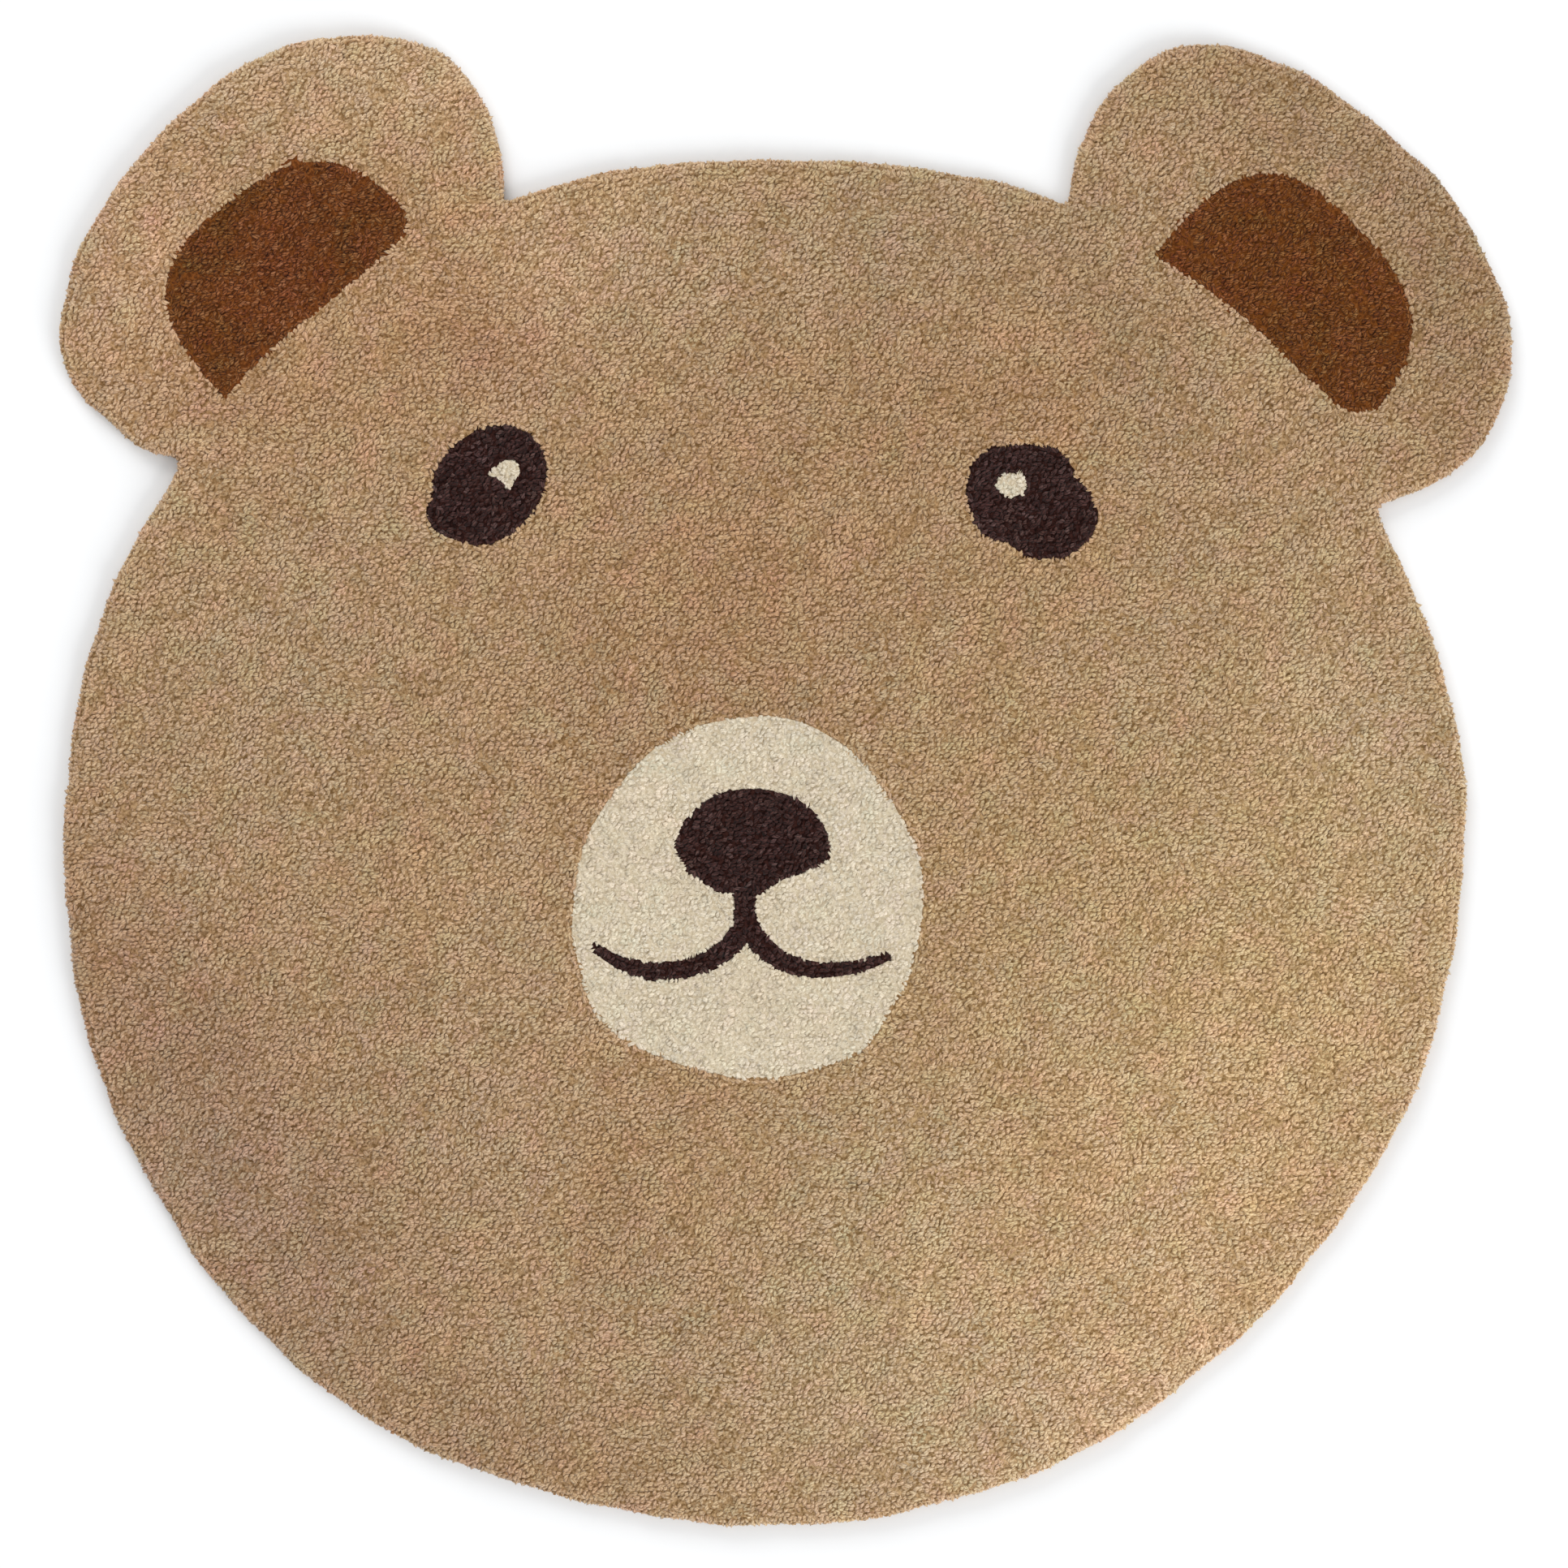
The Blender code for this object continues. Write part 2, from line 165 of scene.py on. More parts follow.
# %% Model the lock
LOCK_LENGTH = 0.0064       # along the bent strand, at its widest line
LOCK_WIDTH = 0.0038        # across it
LOCK_CROWN = 0.0014        # from the widest line up to the middle of its back
LOCK_ROOT = 0.0042         # from the widest line down to the root
LOCK_LEAN = 0.0009         # how far the root lies behind the middle

bpy.ops.mesh.primitive_cone_add(
    vertices=5, radius1=0.5 * LOCK_WIDTH, radius2=0.0, depth=LOCK_ROOT, end_fill_type="NGON",
    location=(0.0, 0.0, -0.5 * LOCK_ROOT), rotation=(math.pi, 0.0, math.radians(90.0)),
)
lock = bpy.context.active_object
lock.name = "one_lock"
only(lock)
bpy.ops.object.transform_apply(location=True, rotation=True, scale=True)
open_mesh(lock)
bpy.ops.transform.resize(value=(LOCK_LENGTH / LOCK_WIDTH, 1.0, 1.0))
pick(lock, lambda place: place.z > -0.1 * LOCK_ROOT)
bpy.ops.mesh.poke(offset=LOCK_CROWN)
pick(lock, lambda place: place.z < -0.5 * LOCK_ROOT)
bpy.ops.transform.translate(value=(-LOCK_LEAN, 0.0, 0.0))
bpy.ops.mesh.select_all(action="SELECT")
bpy.ops.mesh.normals_make_consistent(inside=False)
close_mesh()
print(f"one lock has {len(lock.data.vertices)} corners and {len(lock.data.polygons)} faces")

# %% [markdown]
# ## The drawn face
#
# Whoever tufts the rug first draws the face on the cloth. Here each area is a closed line worked out
# from a few sizes: ovals and eggs with four half-sizes for the round shapes, a dome over a straight
# side for the inner ears, and curved strokes that taper for the mouth. Strays are where a line drawn by
# hand leaves its rule. The sizes are the solid rug's own, measured from the point where the drawing
# starts.

# %% Sizes of the face
DRAWING_START = np.array((-0.0007, -0.0011))  # the drawing's own zero, near the rug's middle
LINE_STEP = 0.0030         # how finely a closed line is followed

# Places, half-sizes and strays are in metres, and a lean is in degrees.
# Columns of strays: direction from the centre (degrees from +X), half-width (degrees), how far out.
OVALS = {
    "muzzle": {
        "x": -0.0270, "y": -0.0900, "long": 0.1310, "wide": 0.1370, "lean": -11.0, "power": 2.12,
        "strays": (
            (36.0, 24.0, -0.0050),
            (78.0, 22.0, 0.0040),
            (138.0, 30.0, -0.0035),
            (192.0, 14.0, 0.0030),
            (216.0, 24.0, 0.0065),
            (254.0, 28.0, -0.0045),
            (280.0, 18.0, -0.0025),
            (307.0, 16.0, 0.0050),
            (325.0, 32.0, 0.0020),
        ),
    },
    "left_eye": {
        "x": -0.2240, "y": 0.2235, "long": 0.0500, "wide": 0.0390, "lean": 48.0, "power": 2.05,
        "strays": ((190.0, 28.0, -0.0030), (212.0, 24.0, 0.0030), (245.0, 22.0, -0.0020)),
    },
    "right_eye": {
        "x": 0.1850, "y": 0.2125, "long": 0.0525, "wide": 0.0395, "lean": -35.0, "power": 2.00,
        "strays": (
            (25.0, 20.0, -0.0035),
            (60.0, 28.0, 0.0035),
            (115.0, 38.0, -0.0035),
            (160.0, 30.0, -0.0020),
            (212.0, 26.0, 0.0025),
            (245.0, 24.0, -0.0030),
            (340.0, 24.0, 0.0030),
        ),
    },
    "left_light": {
        "x": -0.2090, "y": 0.2335, "long": 0.0108, "wide": 0.0095, "lean": 45.0, "power": 2.00,
        "strays": (
            (185.0, 26.0, 0.0050),
            (232.0, 30.0, -0.0035),
            (285.0, 28.0, 0.0035),
            (325.0, 26.0, -0.0025),
        ),
    },
    "right_light": {
        "x": 0.1712, "y": 0.2243, "long": 0.0120, "wide": 0.0100, "lean": 20.0, "power": 2.30,
        "strays": ((90.0, 24.0, -0.0015), (215.0, 26.0, -0.0020)),
    },
}
NOSE = {
    "x": -0.0240, "y": -0.0500, "right": 0.0580, "left": 0.0580, "up": 0.0450, "down": 0.0345,
    "power_up": 2.05, "power_down": 1.45,
    "strays": (
        (150.0, 26.0, -0.0022),
        (200.0, 14.0, 0.0030),
        (228.0, 40.0, 0.0055),
        (312.0, 36.0, -0.0050),
        (351.0, 10.0, 0.0025),
    ),
}
INNER_EARS = {
    "left_inner_ear": {
        "x": -0.3500, "y": 0.3560, "half_side": 0.0980, "height": 0.1065, "power": 2.9,
        "tilt": 0.06, "lean": 42.3, "bow": 0.0015, "sway": 0.0020, "corner": 0.0200,
    },
    "right_inner_ear": {
        "x": 0.3578, "y": 0.3327, "half_side": 0.1015, "height": 0.1130, "power": 3.0,
        "tilt": 0.09, "lean": -39.5, "bow": 0.0055, "sway": 0.0020, "corner": 0.0280,
    },
}
# A stroke has a start, two handles and an end, its width at both ends, and how much narrower its waist is.
STROKES = {
    "stem": {
        "path": ((-0.0298, -0.0700), (-0.0298, -0.0840), (-0.0298, -0.0980), (-0.0298, -0.1130)),
        "widths": (0.0190, 0.0190), "waist": 0.0040,
    },
    "mouth_left": {
        "path": ((-0.0290, -0.1050), (-0.0450, -0.1455), (-0.1100, -0.1565), (-0.1450, -0.1225)),
        "widths": (0.0165, 0.0030), "waist": 0.0,
    },
    "mouth_right": {
        "path": ((-0.0290, -0.1050), (-0.0110, -0.1430), (0.0260, -0.1520), (0.0810, -0.1310)),
        "widths": (0.0165, 0.0030), "waist": 0.0,
    },
}
STROKE_FULLNESS = 0.42     # a power under 1 keeps a stroke wide until shortly before its end
muzzle_width = 2.0 * OVALS["muzzle"]["long"]
print(f"the muzzle is about {muzzle_width * 1000:.0f} mm across")

# %% [markdown]
# ## Ovals and eggs
#
# A round shape is worked out from its centre: how far does it reach in each direction? With a power of
# 2 it is an ellipse. A higher power makes it squarer and a lower one makes it more pointed, like the
# nose's underside. A stray pushes the line out or in over part of the way round, as a soft swell.

# %% Turn ovals and eggs into closed lines
def reach(half_x, half_y, power, turn):
    """How far a rounded shape of two half-sizes reaches in a direction from its centre."""
    across, up = np.abs(np.cos(turn) / half_x), np.abs(np.sin(turn) / half_y)
    return (across ** power + up ** power) ** (-1.0 / power)


def strayed(shape, radius, turn):
    """The radius in each direction with the shape's strays added."""
    for middle, half_width, height in shape["strays"]:
        apart = np.abs((np.degrees(turn) - middle + 180.0) % 360.0 - 180.0)
        rise = height * 0.5 * (1.0 + np.cos(np.pi * apart / half_width))
        radius = radius + np.where(apart < half_width, rise, 0.0)
    return radius


def oval_line(oval):
    """The closed line of a leaning oval."""
    turn = np.linspace(0.0, 2.0 * np.pi, 360, endpoint=False)
    radius = reach(oval["long"], oval["wide"], oval["power"], turn - math.radians(oval["lean"]))
    radius = strayed(oval, radius, turn)
    return np.stack([oval["x"] + radius * np.cos(turn), oval["y"] + radius * np.sin(turn)], axis=1)


def egg_line(egg):
    """The closed line of an egg with four half-sizes."""
    turn = np.linspace(0.0, 2.0 * np.pi, 360, endpoint=False)
    half_x = np.where(np.cos(turn) > 0.0, egg["right"], egg["left"])
    half_y = np.where(np.sin(turn) > 0.0, egg["up"], egg["down"])
    power = np.where(np.sin(turn) > 0.0, egg["power_up"], egg["power_down"])
    radius = strayed(egg, reach(half_x, half_y, power, turn), turn)
    return np.stack([egg["x"] + radius * np.cos(turn), egg["y"] + radius * np.sin(turn)], axis=1)


nose_size = np.ptp(egg_line(NOSE), axis=0)
print(f"the nose is {nose_size[0] * 1000:.0f} mm wide and {nose_size[1] * 1000:.0f} mm high")

# %% [markdown]
# ## Inner ears
#
# An inner ear is the upper half of such an oval over a nearly straight side. A curve with two handles
# rounds off one of its corners. Tilt makes the dome lower towards that corner, bow lifts the middle of
# the straight side, and sway bends the side into a faint S.

# %% Turn the inner ears into closed lines
def bent(start, first, second, end, share):
    """Points of the smooth line from start to end that leans towards two handles in turn."""
    share = np.asarray(share)[:, None]
    rest = 1.0 - share
    return start * rest ** 3 + 3.0 * share * rest * (first * rest + second * share) + end * share ** 3


def inner_ear_line(ear):
    """The dome of an inner ear, its nearly straight side, and the rounded corner where they meet."""
    half_side, lean = ear["half_side"], math.radians(ear["lean"])
    turn = np.linspace(ear["corner"] / half_side, np.pi, 120)
    radius = reach(half_side, ear["height"], ear["power"], turn)
    dome = np.stack([radius * np.cos(turn), radius * np.sin(turn)], axis=1)
    dome[:, 1] *= 1.0 - ear["tilt"] * dome[:, 0] / half_side
    share = np.linspace(0.0, 1.0 - 0.5 * ear["corner"] / half_side, 60)
    rise = ear["bow"] * np.sin(np.pi * share) + ear["sway"] * np.sin(2.0 * np.pi * share)
    side = np.stack([half_side * (2.0 * share - 1.0), rise], axis=1)
    tip = np.array((half_side, 0.0))
    first_handle, second_handle = 0.4 * side[-1] + 0.6 * tip, 0.4 * dome[0] + 0.6 * tip
    corner = bent(side[-1], first_handle, second_handle, dome[0], np.linspace(0.1, 0.9, 8))
    flat = np.vstack([dome, side[1:], corner])
    right = np.array((math.cos(lean), math.sin(lean)))
    up = np.array((-math.sin(lean), math.cos(lean)))
    return np.array((ear["x"], ear["y"])) + flat[:, :1] * right + flat[:, 1:] * up


for name, ear in INNER_EARS.items():
    print(f"{name}: {2000.0 * ear['half_side']:.0f} mm along its side")

# %% [markdown]
# ## The mouth
#
# The stem under the nose and the two halves of the smile are strokes, like those of a brush. Each
# follows a curve with two handles, and half its width is laid off on both sides. The smile's halves
# taper almost to a point.

# %% Turn the strokes into closed lines
def stroke_parts(stroke, count):
    """The middle of a stroke at some places along it, its direction there and its width."""
    share = np.linspace(0.0, 1.0, count)
    middle = bent(*(np.array(point) for point in stroke["path"]), share)
    along = np.gradient(middle, axis=0)
    along /= np.linalg.norm(along, axis=1, keepdims=True)
    first, last = stroke["widths"]
    width = last + (first - last) * (1.0 - share) ** STROKE_FULLNESS
    width -= stroke["waist"] * np.sin(np.pi * share)
    return middle, along, width


def stroke_line(stroke):
    """The closed line round a tapering stroke."""
    middle, along, width = stroke_parts(stroke, 40)
    across = np.stack([-along[:, 1], along[:, 0]], axis=1) * 0.5 * width[:, None]
    return np.vstack([middle - across, (middle + across)[::-1]])


print(f"{len(STROKES)} strokes draw the stem and the smile")

# %% [markdown]
# ## The areas in their order
#
# Each closed line is followed in even steps and put where the drawing starts. The order matters: the
# nose lies over the muzzle and the lights lie over the eyes, so a point belongs to the last area that
# it is in.

# %% Follow every line in even steps
def along_line(points, step, closed):
    """Evenly spaced places along a line, and the line's direction at each."""
    if closed:
        points = np.vstack([points, points[:1]])
    lengths = np.linalg.norm(np.diff(points, axis=0), axis=1)
    reached = np.concatenate([[0.0], np.cumsum(lengths)])
    count = max(2, round(reached[-1] / step))
    wanted = np.linspace(0.0, reached[-1], count, endpoint=not closed)
    places = np.stack([np.interp(wanted, reached, column) for column in points.T], axis=1)
    ahead = np.stack([np.interp(wanted + 0.2 * step, reached, column) for column in points.T], axis=1)
    behind = np.stack([np.interp(wanted - 0.2 * step, reached, column) for column in points.T], axis=1)
    directions = ahead - behind
    return places, directions / np.linalg.norm(directions, axis=1, keepdims=True)


# Each area: its name, its yarn and its closed line. A later area lies over an earlier one.
drawn = [("muzzle", "cream_pile", oval_line(OVALS["muzzle"])), ("nose", "dark_brown_pile", egg_line(NOSE))]
drawn += [(name, "dark_brown_pile", stroke_line(stroke)) for name, stroke in STROKES.items()]
drawn += [(name, "dark_brown_pile", oval_line(OVALS[name])) for name in ("left_eye", "right_eye")]
drawn += [(name, "cream_pile", oval_line(OVALS[name])) for name in ("left_light", "right_light")]
drawn += [(name, "rust_brown_pile", inner_ear_line(ear)) for name, ear in INNER_EARS.items()]
areas = []
for name, yarn, line in drawn:
    line, _ = along_line(line + DRAWING_START, LINE_STEP, closed=True)
    areas.append({"name": name, "yarn": yarn, "line": line})
    print(f"{name}: {yarn}, {len(line)} points round it")


# %% Tell which area a point lies in
def depth_in(line, points):
    """How deep each point lies inside a closed line, in metres, and under zero how far outside it."""
    depth = np.full(len(points), -1.0)
    margin = 0.02          # farther out than this, the distance isn't measured
    near = np.flatnonzero(((points > line.min(0) - margin) & (points < line.max(0) + margin)).all(1))
    if not len(near):
        return depth
    here = points[near][:, None]
    first, second = line, np.roll(line, -1, axis=0)
    edge = second - first
    share = ((here - first) * edge).sum(2) / (edge * edge).sum(1)
    foot = first + np.clip(share, 0.0, 1.0)[:, :, None] * edge
    distance = np.linalg.norm(here - foot, axis=2).min(1)
    spans = (first[:, 1] > here[:, :, 1]) != (second[:, 1] > here[:, :, 1])
    slope = edge[:, 0] / np.where(edge[:, 1] == 0.0, 1e-12, edge[:, 1])
    left_of = here[:, :, 0] < first[:, 0] + (here[:, :, 1] - first[:, 1]) * slope
    inside = (spans & left_of).sum(1) % 2 == 1
    depth[near] = np.where(inside, distance, -distance)
    return depth


def area_at(points, spreads=None):
    """The number of the highest area at each point, or -1 for the fur. An area may be spread, in metres."""
    found = np.full(len(points), -1)
    for number, area in enumerate(areas):
        spread = (spreads or {}).get(area["name"], 0.0)
        found[depth_in(area["line"], points) > -spread] = number
    return found


at_start = areas[area_at(DRAWING_START[None])[0]]
print(f"the drawing starts from a point in the {at_start['name']}")

# %% [markdown]
# ## Where the locks are planted
#
# A tufter works the rows that set an outline first, those along the cut edge and along both sides of
# each drawn line, and then fills what is left. The copies here follow that order. Rows give the face
# its clean edges and the rug its full rim. The filling is a grid of triangles that has been shaken,
# because a perfect grid shows as stripes.

# %% Rows along the cut edge
LOCK_STEP = 0.00353        # from one lock to the next
RIM_HEIGHTS = (0.0026, 0.0054, 0.0082, 0.0108, 0.0130)  # over the floor
RIM_SHAKE = 0.10 * LOCK_STEP

draw = np.random.default_rng(11)  # chance with a fixed seed gives the same rug each time


def outline_at(height):
    """The solid's outline at a height over the floor, cut from it with a plane, in order."""
    cut = bpy.data.objects.new("cut_line", merged_rug.copy())
    bpy.context.scene.collection.objects.link(cut)
    open_mesh(cut)
    bpy.ops.mesh.bisect(
        plane_co=(0.0, 0.0, height), plane_no=(0.0, 0.0, 1.0), clear_inner=True, clear_outer=True,
    )
    close_mesh()
    bpy.ops.object.convert(target="CURVE")
    points = np.array([point.co[:3] for point in cut.data.splines[0].points])
    curve = cut.data
    bpy.data.objects.remove(cut)
    bpy.data.curves.remove(curve)
    return points


surface = BVHTree.FromPolygons(
    [corner.co for corner in merged_rug.vertices], [face.vertices for face in merged_rug.polygons]
)
rim_places = []
for height in RIM_HEIGHTS:
    places, _ = along_line(outline_at(height), LOCK_STEP, closed=True)
    places += draw.normal(0.0, RIM_SHAKE, places.shape)
    rim_places.append(places)
rim_places = np.vstack(rim_places)
print(f"{len(rim_places)} locks stand in {len(RIM_HEIGHTS)} rows along the cut edge")

# %% [markdown]
# Each drawn line has a row of locks on either side, in the two colours that meet there. Where both
# sides have the same area on top, as where the stem runs into the nose, there is no line to draw. A
# stroke also has a row along its middle, and the lights in the eyes are so small that they are filled
# here too.

# %% Rows along the drawn lines
ROW_OFFSET = 0.44 * LOCK_STEP  # from the drawn line to the row beside it
ROW_SHAKE = 0.11 * LOCK_STEP
LEAST_APART = 0.62         # locks nearer than this share of the step are thinned out
CLEAN_SWING, RAGGED_SWING = 40.0, 60.0  # how far strands swing about their row (degrees)
STROKE_STEP = 0.9 * LOCK_STEP
LIGHT_STEP = 0.72 * LOCK_STEP  # the lights in the eyes are small, so their locks stand closer
LIGHT_ROWS = 0.9           # from row to row, as a share of that step
LIGHT_REACH = 0.012        # half of the square grid that a light is filled from
LIGHT_MARGIN = 0.3 * LIGHT_STEP  # how far inside its line a light's filling stays
LIGHT_SWING = 25.0         # how far its strands swing about the direction from its middle

row_places, row_headings = [], []


def add_row(places, along, swing):
    """Adds a row of shaken places whose strands swing about the row's direction, in degrees."""
    row_places.extend(places + draw.normal(0.0, ROW_SHAKE, places.shape))
    swings = math.radians(swing) * draw.normal(0.0, 1.0, len(places))
    row_headings.extend(np.arctan2(along[:, 1], along[:, 0]) + swings)


for stroke in STROKES.values():
    middle, _, _ = stroke_parts(stroke, 400)
    add_row(*along_line(middle + DRAWING_START, STROKE_STEP, closed=False), RAGGED_SWING)
for area in areas:
    places, along = along_line(area["line"], LOCK_STEP, closed=True)
    across = np.stack([-along[:, 1], along[:, 0]], axis=1)
    pair = [places + across * ROW_OFFSET, places - across * ROW_OFFSET]
    differs = area_at(pair[0]) != area_at(pair[1])
    for side in pair:
        swing = CLEAN_SWING if area["name"] == "muzzle" else RAGGED_SWING
        add_row(side[differs], along[differs], swing)
for area in areas:
    if area["name"].endswith("light"):
        middle = area["line"].mean(0)
        count = int(LIGHT_REACH / LIGHT_STEP)
        across, up = np.meshgrid(np.arange(-count, count + 1), np.arange(-count, count + 1))
        across, up = across.ravel() + 0.5 * (up.ravel() % 2), LIGHT_ROWS * up.ravel()
        places = middle + LIGHT_STEP * np.stack([across, up], axis=1)
        places = places[depth_in(area["line"], places) > LIGHT_MARGIN]
        add_row(places, places - middle, LIGHT_SWING)
row_places, row_headings = np.array(row_places), np.array(row_headings)


def thinned(places, distance):
    """The numbers of the places that keep their distance from every earlier one."""
    kept, cells = [], {}
    for at, place in enumerate(places):
        cell = (int(place[0] // distance), int(place[1] // distance))
        beside = [(cell[0] + i, cell[1] + j) for i in (-1, 0, 1) for j in (-1, 0, 1)]
        around = [near for other in beside for near in cells.get(other, ())]
        if all(math.hypot(place[0] - near[0], place[1] - near[1]) >= distance for near in around):
            kept.append(at)
            cells.setdefault(cell, []).append(place)
    return kept


kept = thinned(row_places, LEAST_APART * LOCK_STEP)
row_places, row_headings = row_places[kept], row_headings[kept]
print(f"{len(row_places)} locks stand in rows along the drawn lines")

# %% [markdown]
# The filling keeps clear of every row, so that none of its locks stands on a drawn line in the wrong
# colour. A KD tree answers quickly how near the next lock of a row is.

# %% Fill what is left
SHAKE = 0.20               # how far a lock is off the grid, as a share of the step
ROW_CLEAR = 0.66           # how far the filling keeps off the rows, as a share of the step
FIELD_EDGE = 0.0044        # how far inside the cut edge the filling ends

half_width, half_height = 0.5 * rug_size.x, 0.5 * rug_size.y
row_height = LOCK_STEP * math.sqrt(0.75)
rows, columns = int(half_height / row_height), int(half_width / LOCK_STEP)
row_numbers, column_numbers = np.arange(-rows, rows + 1), np.arange(-columns, columns + 1)
grid_row, grid_column = np.meshgrid(row_numbers, column_numbers, indexing="ij")
fill_places = np.stack([(grid_column + 0.5 * (grid_row % 2)) * LOCK_STEP, grid_row * row_height], axis=-1)
fill_places = fill_places.reshape(-1, 2)
fill_places = fill_places + draw.normal(0.0, SHAKE * LOCK_STEP, fill_places.shape)

widest = outline_at(0.5 * solid_high.z)[:, :2]
taken = KDTree(len(row_places))
for at, place in enumerate(row_places):
    taken.insert((*place, 0.0), at)
taken.balance()
free = np.array([taken.find((*place, 0.0))[2] for place in fill_places]) > ROW_CLEAR * LOCK_STEP
fill_places = fill_places[free]
BLOCK = 8000               # places measured at a time, to save memory
edge_depth = np.concatenate([
    depth_in(widest, fill_places[start:start + BLOCK]) for start in range(0, len(fill_places), BLOCK)
])
fill_places = fill_places[edge_depth > FIELD_EDGE]
print(f"{len(fill_places)} locks fill the rest")

# %% [markdown]
# ## How each lock stands
#
# A lock stands square to the surface that it grows from and bends over in the direction of the nap. The
# nap is a slow field: on this rug most strands lie from lower left to upper right, and they sway a
# little from patch to patch. In a row they follow the row. Round the cut edge they droop to the floor.
# Every lock then leans, rolls, bends and stands a little higher or lower by chance, because a lock that
# repeats exactly is seen at once.

# %% Find the surface under each lock
ABOVE = 0.05               # a height that is clear of the pile

top_places = np.vstack([row_places, fill_places])
feet, normals = [], []
for place in top_places:
    hit, normal, _, _ = surface.ray_cast(Vector((place[0], place[1], ABOVE)), Vector((0.0, 0.0, -1.0)))
    feet.append(hit)
    normals.append(normal)
for place in rim_places:
    hit, normal, _, _ = surface.find_nearest(Vector(place))
    feet.append(hit)
    normals.append(normal)
feet, normals = np.array(feet), np.array(normals)
total, top_count, row_count = len(feet), len(top_places), len(row_places)
in_rim = np.arange(total) >= top_count
flat_places = feet[:, :2]
print(f"{total} locks stand on the surface, {in_rim.sum()} of them in the rim")

# %% Lay the strands along the nap
NAP = 43.0                 # which way most strands lie (degrees from +X)
NAP_SWAY, NAP_PATCH = 26.0, 0.075  # how far it sways (degrees) over patches of what size (metres)
NAP_SPREAD = 26.0          # how far single strands stray from it (degrees)
TURNED_ROUND = 0.15        # the share of strands that lie the other way round


def clouds(places, size, part):
    """Smooth noise of about -1 to 1 whose patches are about one size across."""
    return np.array([noise.noise(Vector((x / size, y / size, part))) for x, y in places])


heading = math.radians(NAP) + math.radians(NAP_SWAY) * clouds(flat_places, NAP_PATCH, 3.0)
heading += draw.normal(0.0, math.radians(NAP_SPREAD), total)
heading[:row_count] = row_headings
heading += np.pi * (draw.random(total) < TURNED_ROUND)
near_nap = np.cos(2.0 * (heading[row_count:top_count] - math.radians(NAP))) > 0.0
print(f"{near_nap.mean():.0%} of the filling lies within 45 degrees of the nap")

# %% Droop, lift and roll the strands
DROOP_SPREAD = 0.45        # how far a strand in the rim strays from straight down
LOWEST_ROW = 0.0045        # below this height strands lie along the edge
TILT, TILT_SPREAD = 12.0, 14.0  # how far a strand's tip is lifted (degrees)
ROLL_SPREAD = 22.0         # how far it is rolled on its side (degrees)


def unit(vectors):
    """The same directions with length 1."""
    return vectors / np.maximum(np.linalg.norm(vectors, axis=1, keepdims=True), 1e-9)


def turned(first, second, angle):
    """Two directions turned in their own plane, the first towards the second."""
    cos, sin = np.cos(angle)[:, None], np.sin(angle)[:, None]
    return first * cos + second * sin, second * cos - first * sin


# In the rim a strand droops, or in the lowest row lies along the edge.
along = np.stack([np.cos(heading), np.sin(heading), np.zeros(total)], axis=1)
droop = np.array((0.0, 0.0, -1.0)) + draw.normal(0.0, DROOP_SPREAD, (total, 3))
along[in_rim] = droop[in_rim]
lowest = in_rim & (feet[:, 2] < LOWEST_ROW)
round_edge = np.cross(normals, (0.0, 0.0, 1.0))
along[lowest] = round_edge[lowest]

along = unit(along - normals * (along * normals).sum(1, keepdims=True))
across = np.cross(normals, along)
along, upward = turned(along, normals, draw.normal(math.radians(TILT), math.radians(TILT_SPREAD), total))
across, upward = turned(across, upward, draw.normal(0.0, math.radians(ROLL_SPREAD), total))
fall = np.degrees(np.arcsin(-along[in_rim & ~lowest, 2])).mean()
print(f"strands in the rim point {fall:.0f} degrees down on average")

# %% [markdown]
# ## Gaps, tracks and lumps
#
# Cotton pile never closes evenly. Short dark tracks open between the strands, most of them along the
# nap, and in the cream of the muzzle the locks gather into soft lumps about a centimetre across, like a
# quilt. Both are made by sinking locks: a sunk lock lies in its neighbours' shadow. Its dye is darkened
# with painted shade as well.

# %% Open tracks along the nap
TRACK_LENGTH, TRACK_WIDTH = 0.016, 0.0055  # how far the noise is drawn out, along and across the nap
TRACK_SHARPNESS = 0.11     # how near to zero the noise has to be for a track
TRACK_PATCH = 0.03         # tracks come in patches of about this size
TRACK_SHARE, TRACK_CONTRAST = 0.5, 1.6  # how much of the rug has tracks, and how sharply that changes

nap_x, nap_y = math.cos(math.radians(NAP)), math.sin(math.radians(NAP))
grain_along = flat_places[:, 0] * nap_x + flat_places[:, 1] * nap_y
grain_across = flat_places[:, 1] * nap_x - flat_places[:, 0] * nap_y
stretched = np.stack([grain_along / TRACK_LENGTH, grain_across / TRACK_WIDTH], axis=1)
track = np.exp(-(clouds(stretched, 1.0, 8.0) / TRACK_SHARPNESS) ** 2)
track *= np.clip(TRACK_SHARE + TRACK_CONTRAST * clouds(flat_places, TRACK_PATCH, 5.0), 0.0, 1.0)
track[in_rim] = 0.0
print(f"{(track > 0.5).mean():.0%} of the locks lie in tracks")

# %% Give each lock its yarn
area_number = np.full(total, -1)
for start in range(0, top_count, BLOCK):
    block = slice(start, min(start + BLOCK, top_count))
    area_number[block] = area_at(flat_places[block])
yarn_of_area = [area["yarn"] for area in areas] + ["tan_pile"]
yarn_names = np.array([yarn_of_area[number] for number in area_number])
cream = np.flatnonzero(yarn_names == "cream_pile")
print(f"{(area_number < 0).mean():.0%} of the locks are plain fur")

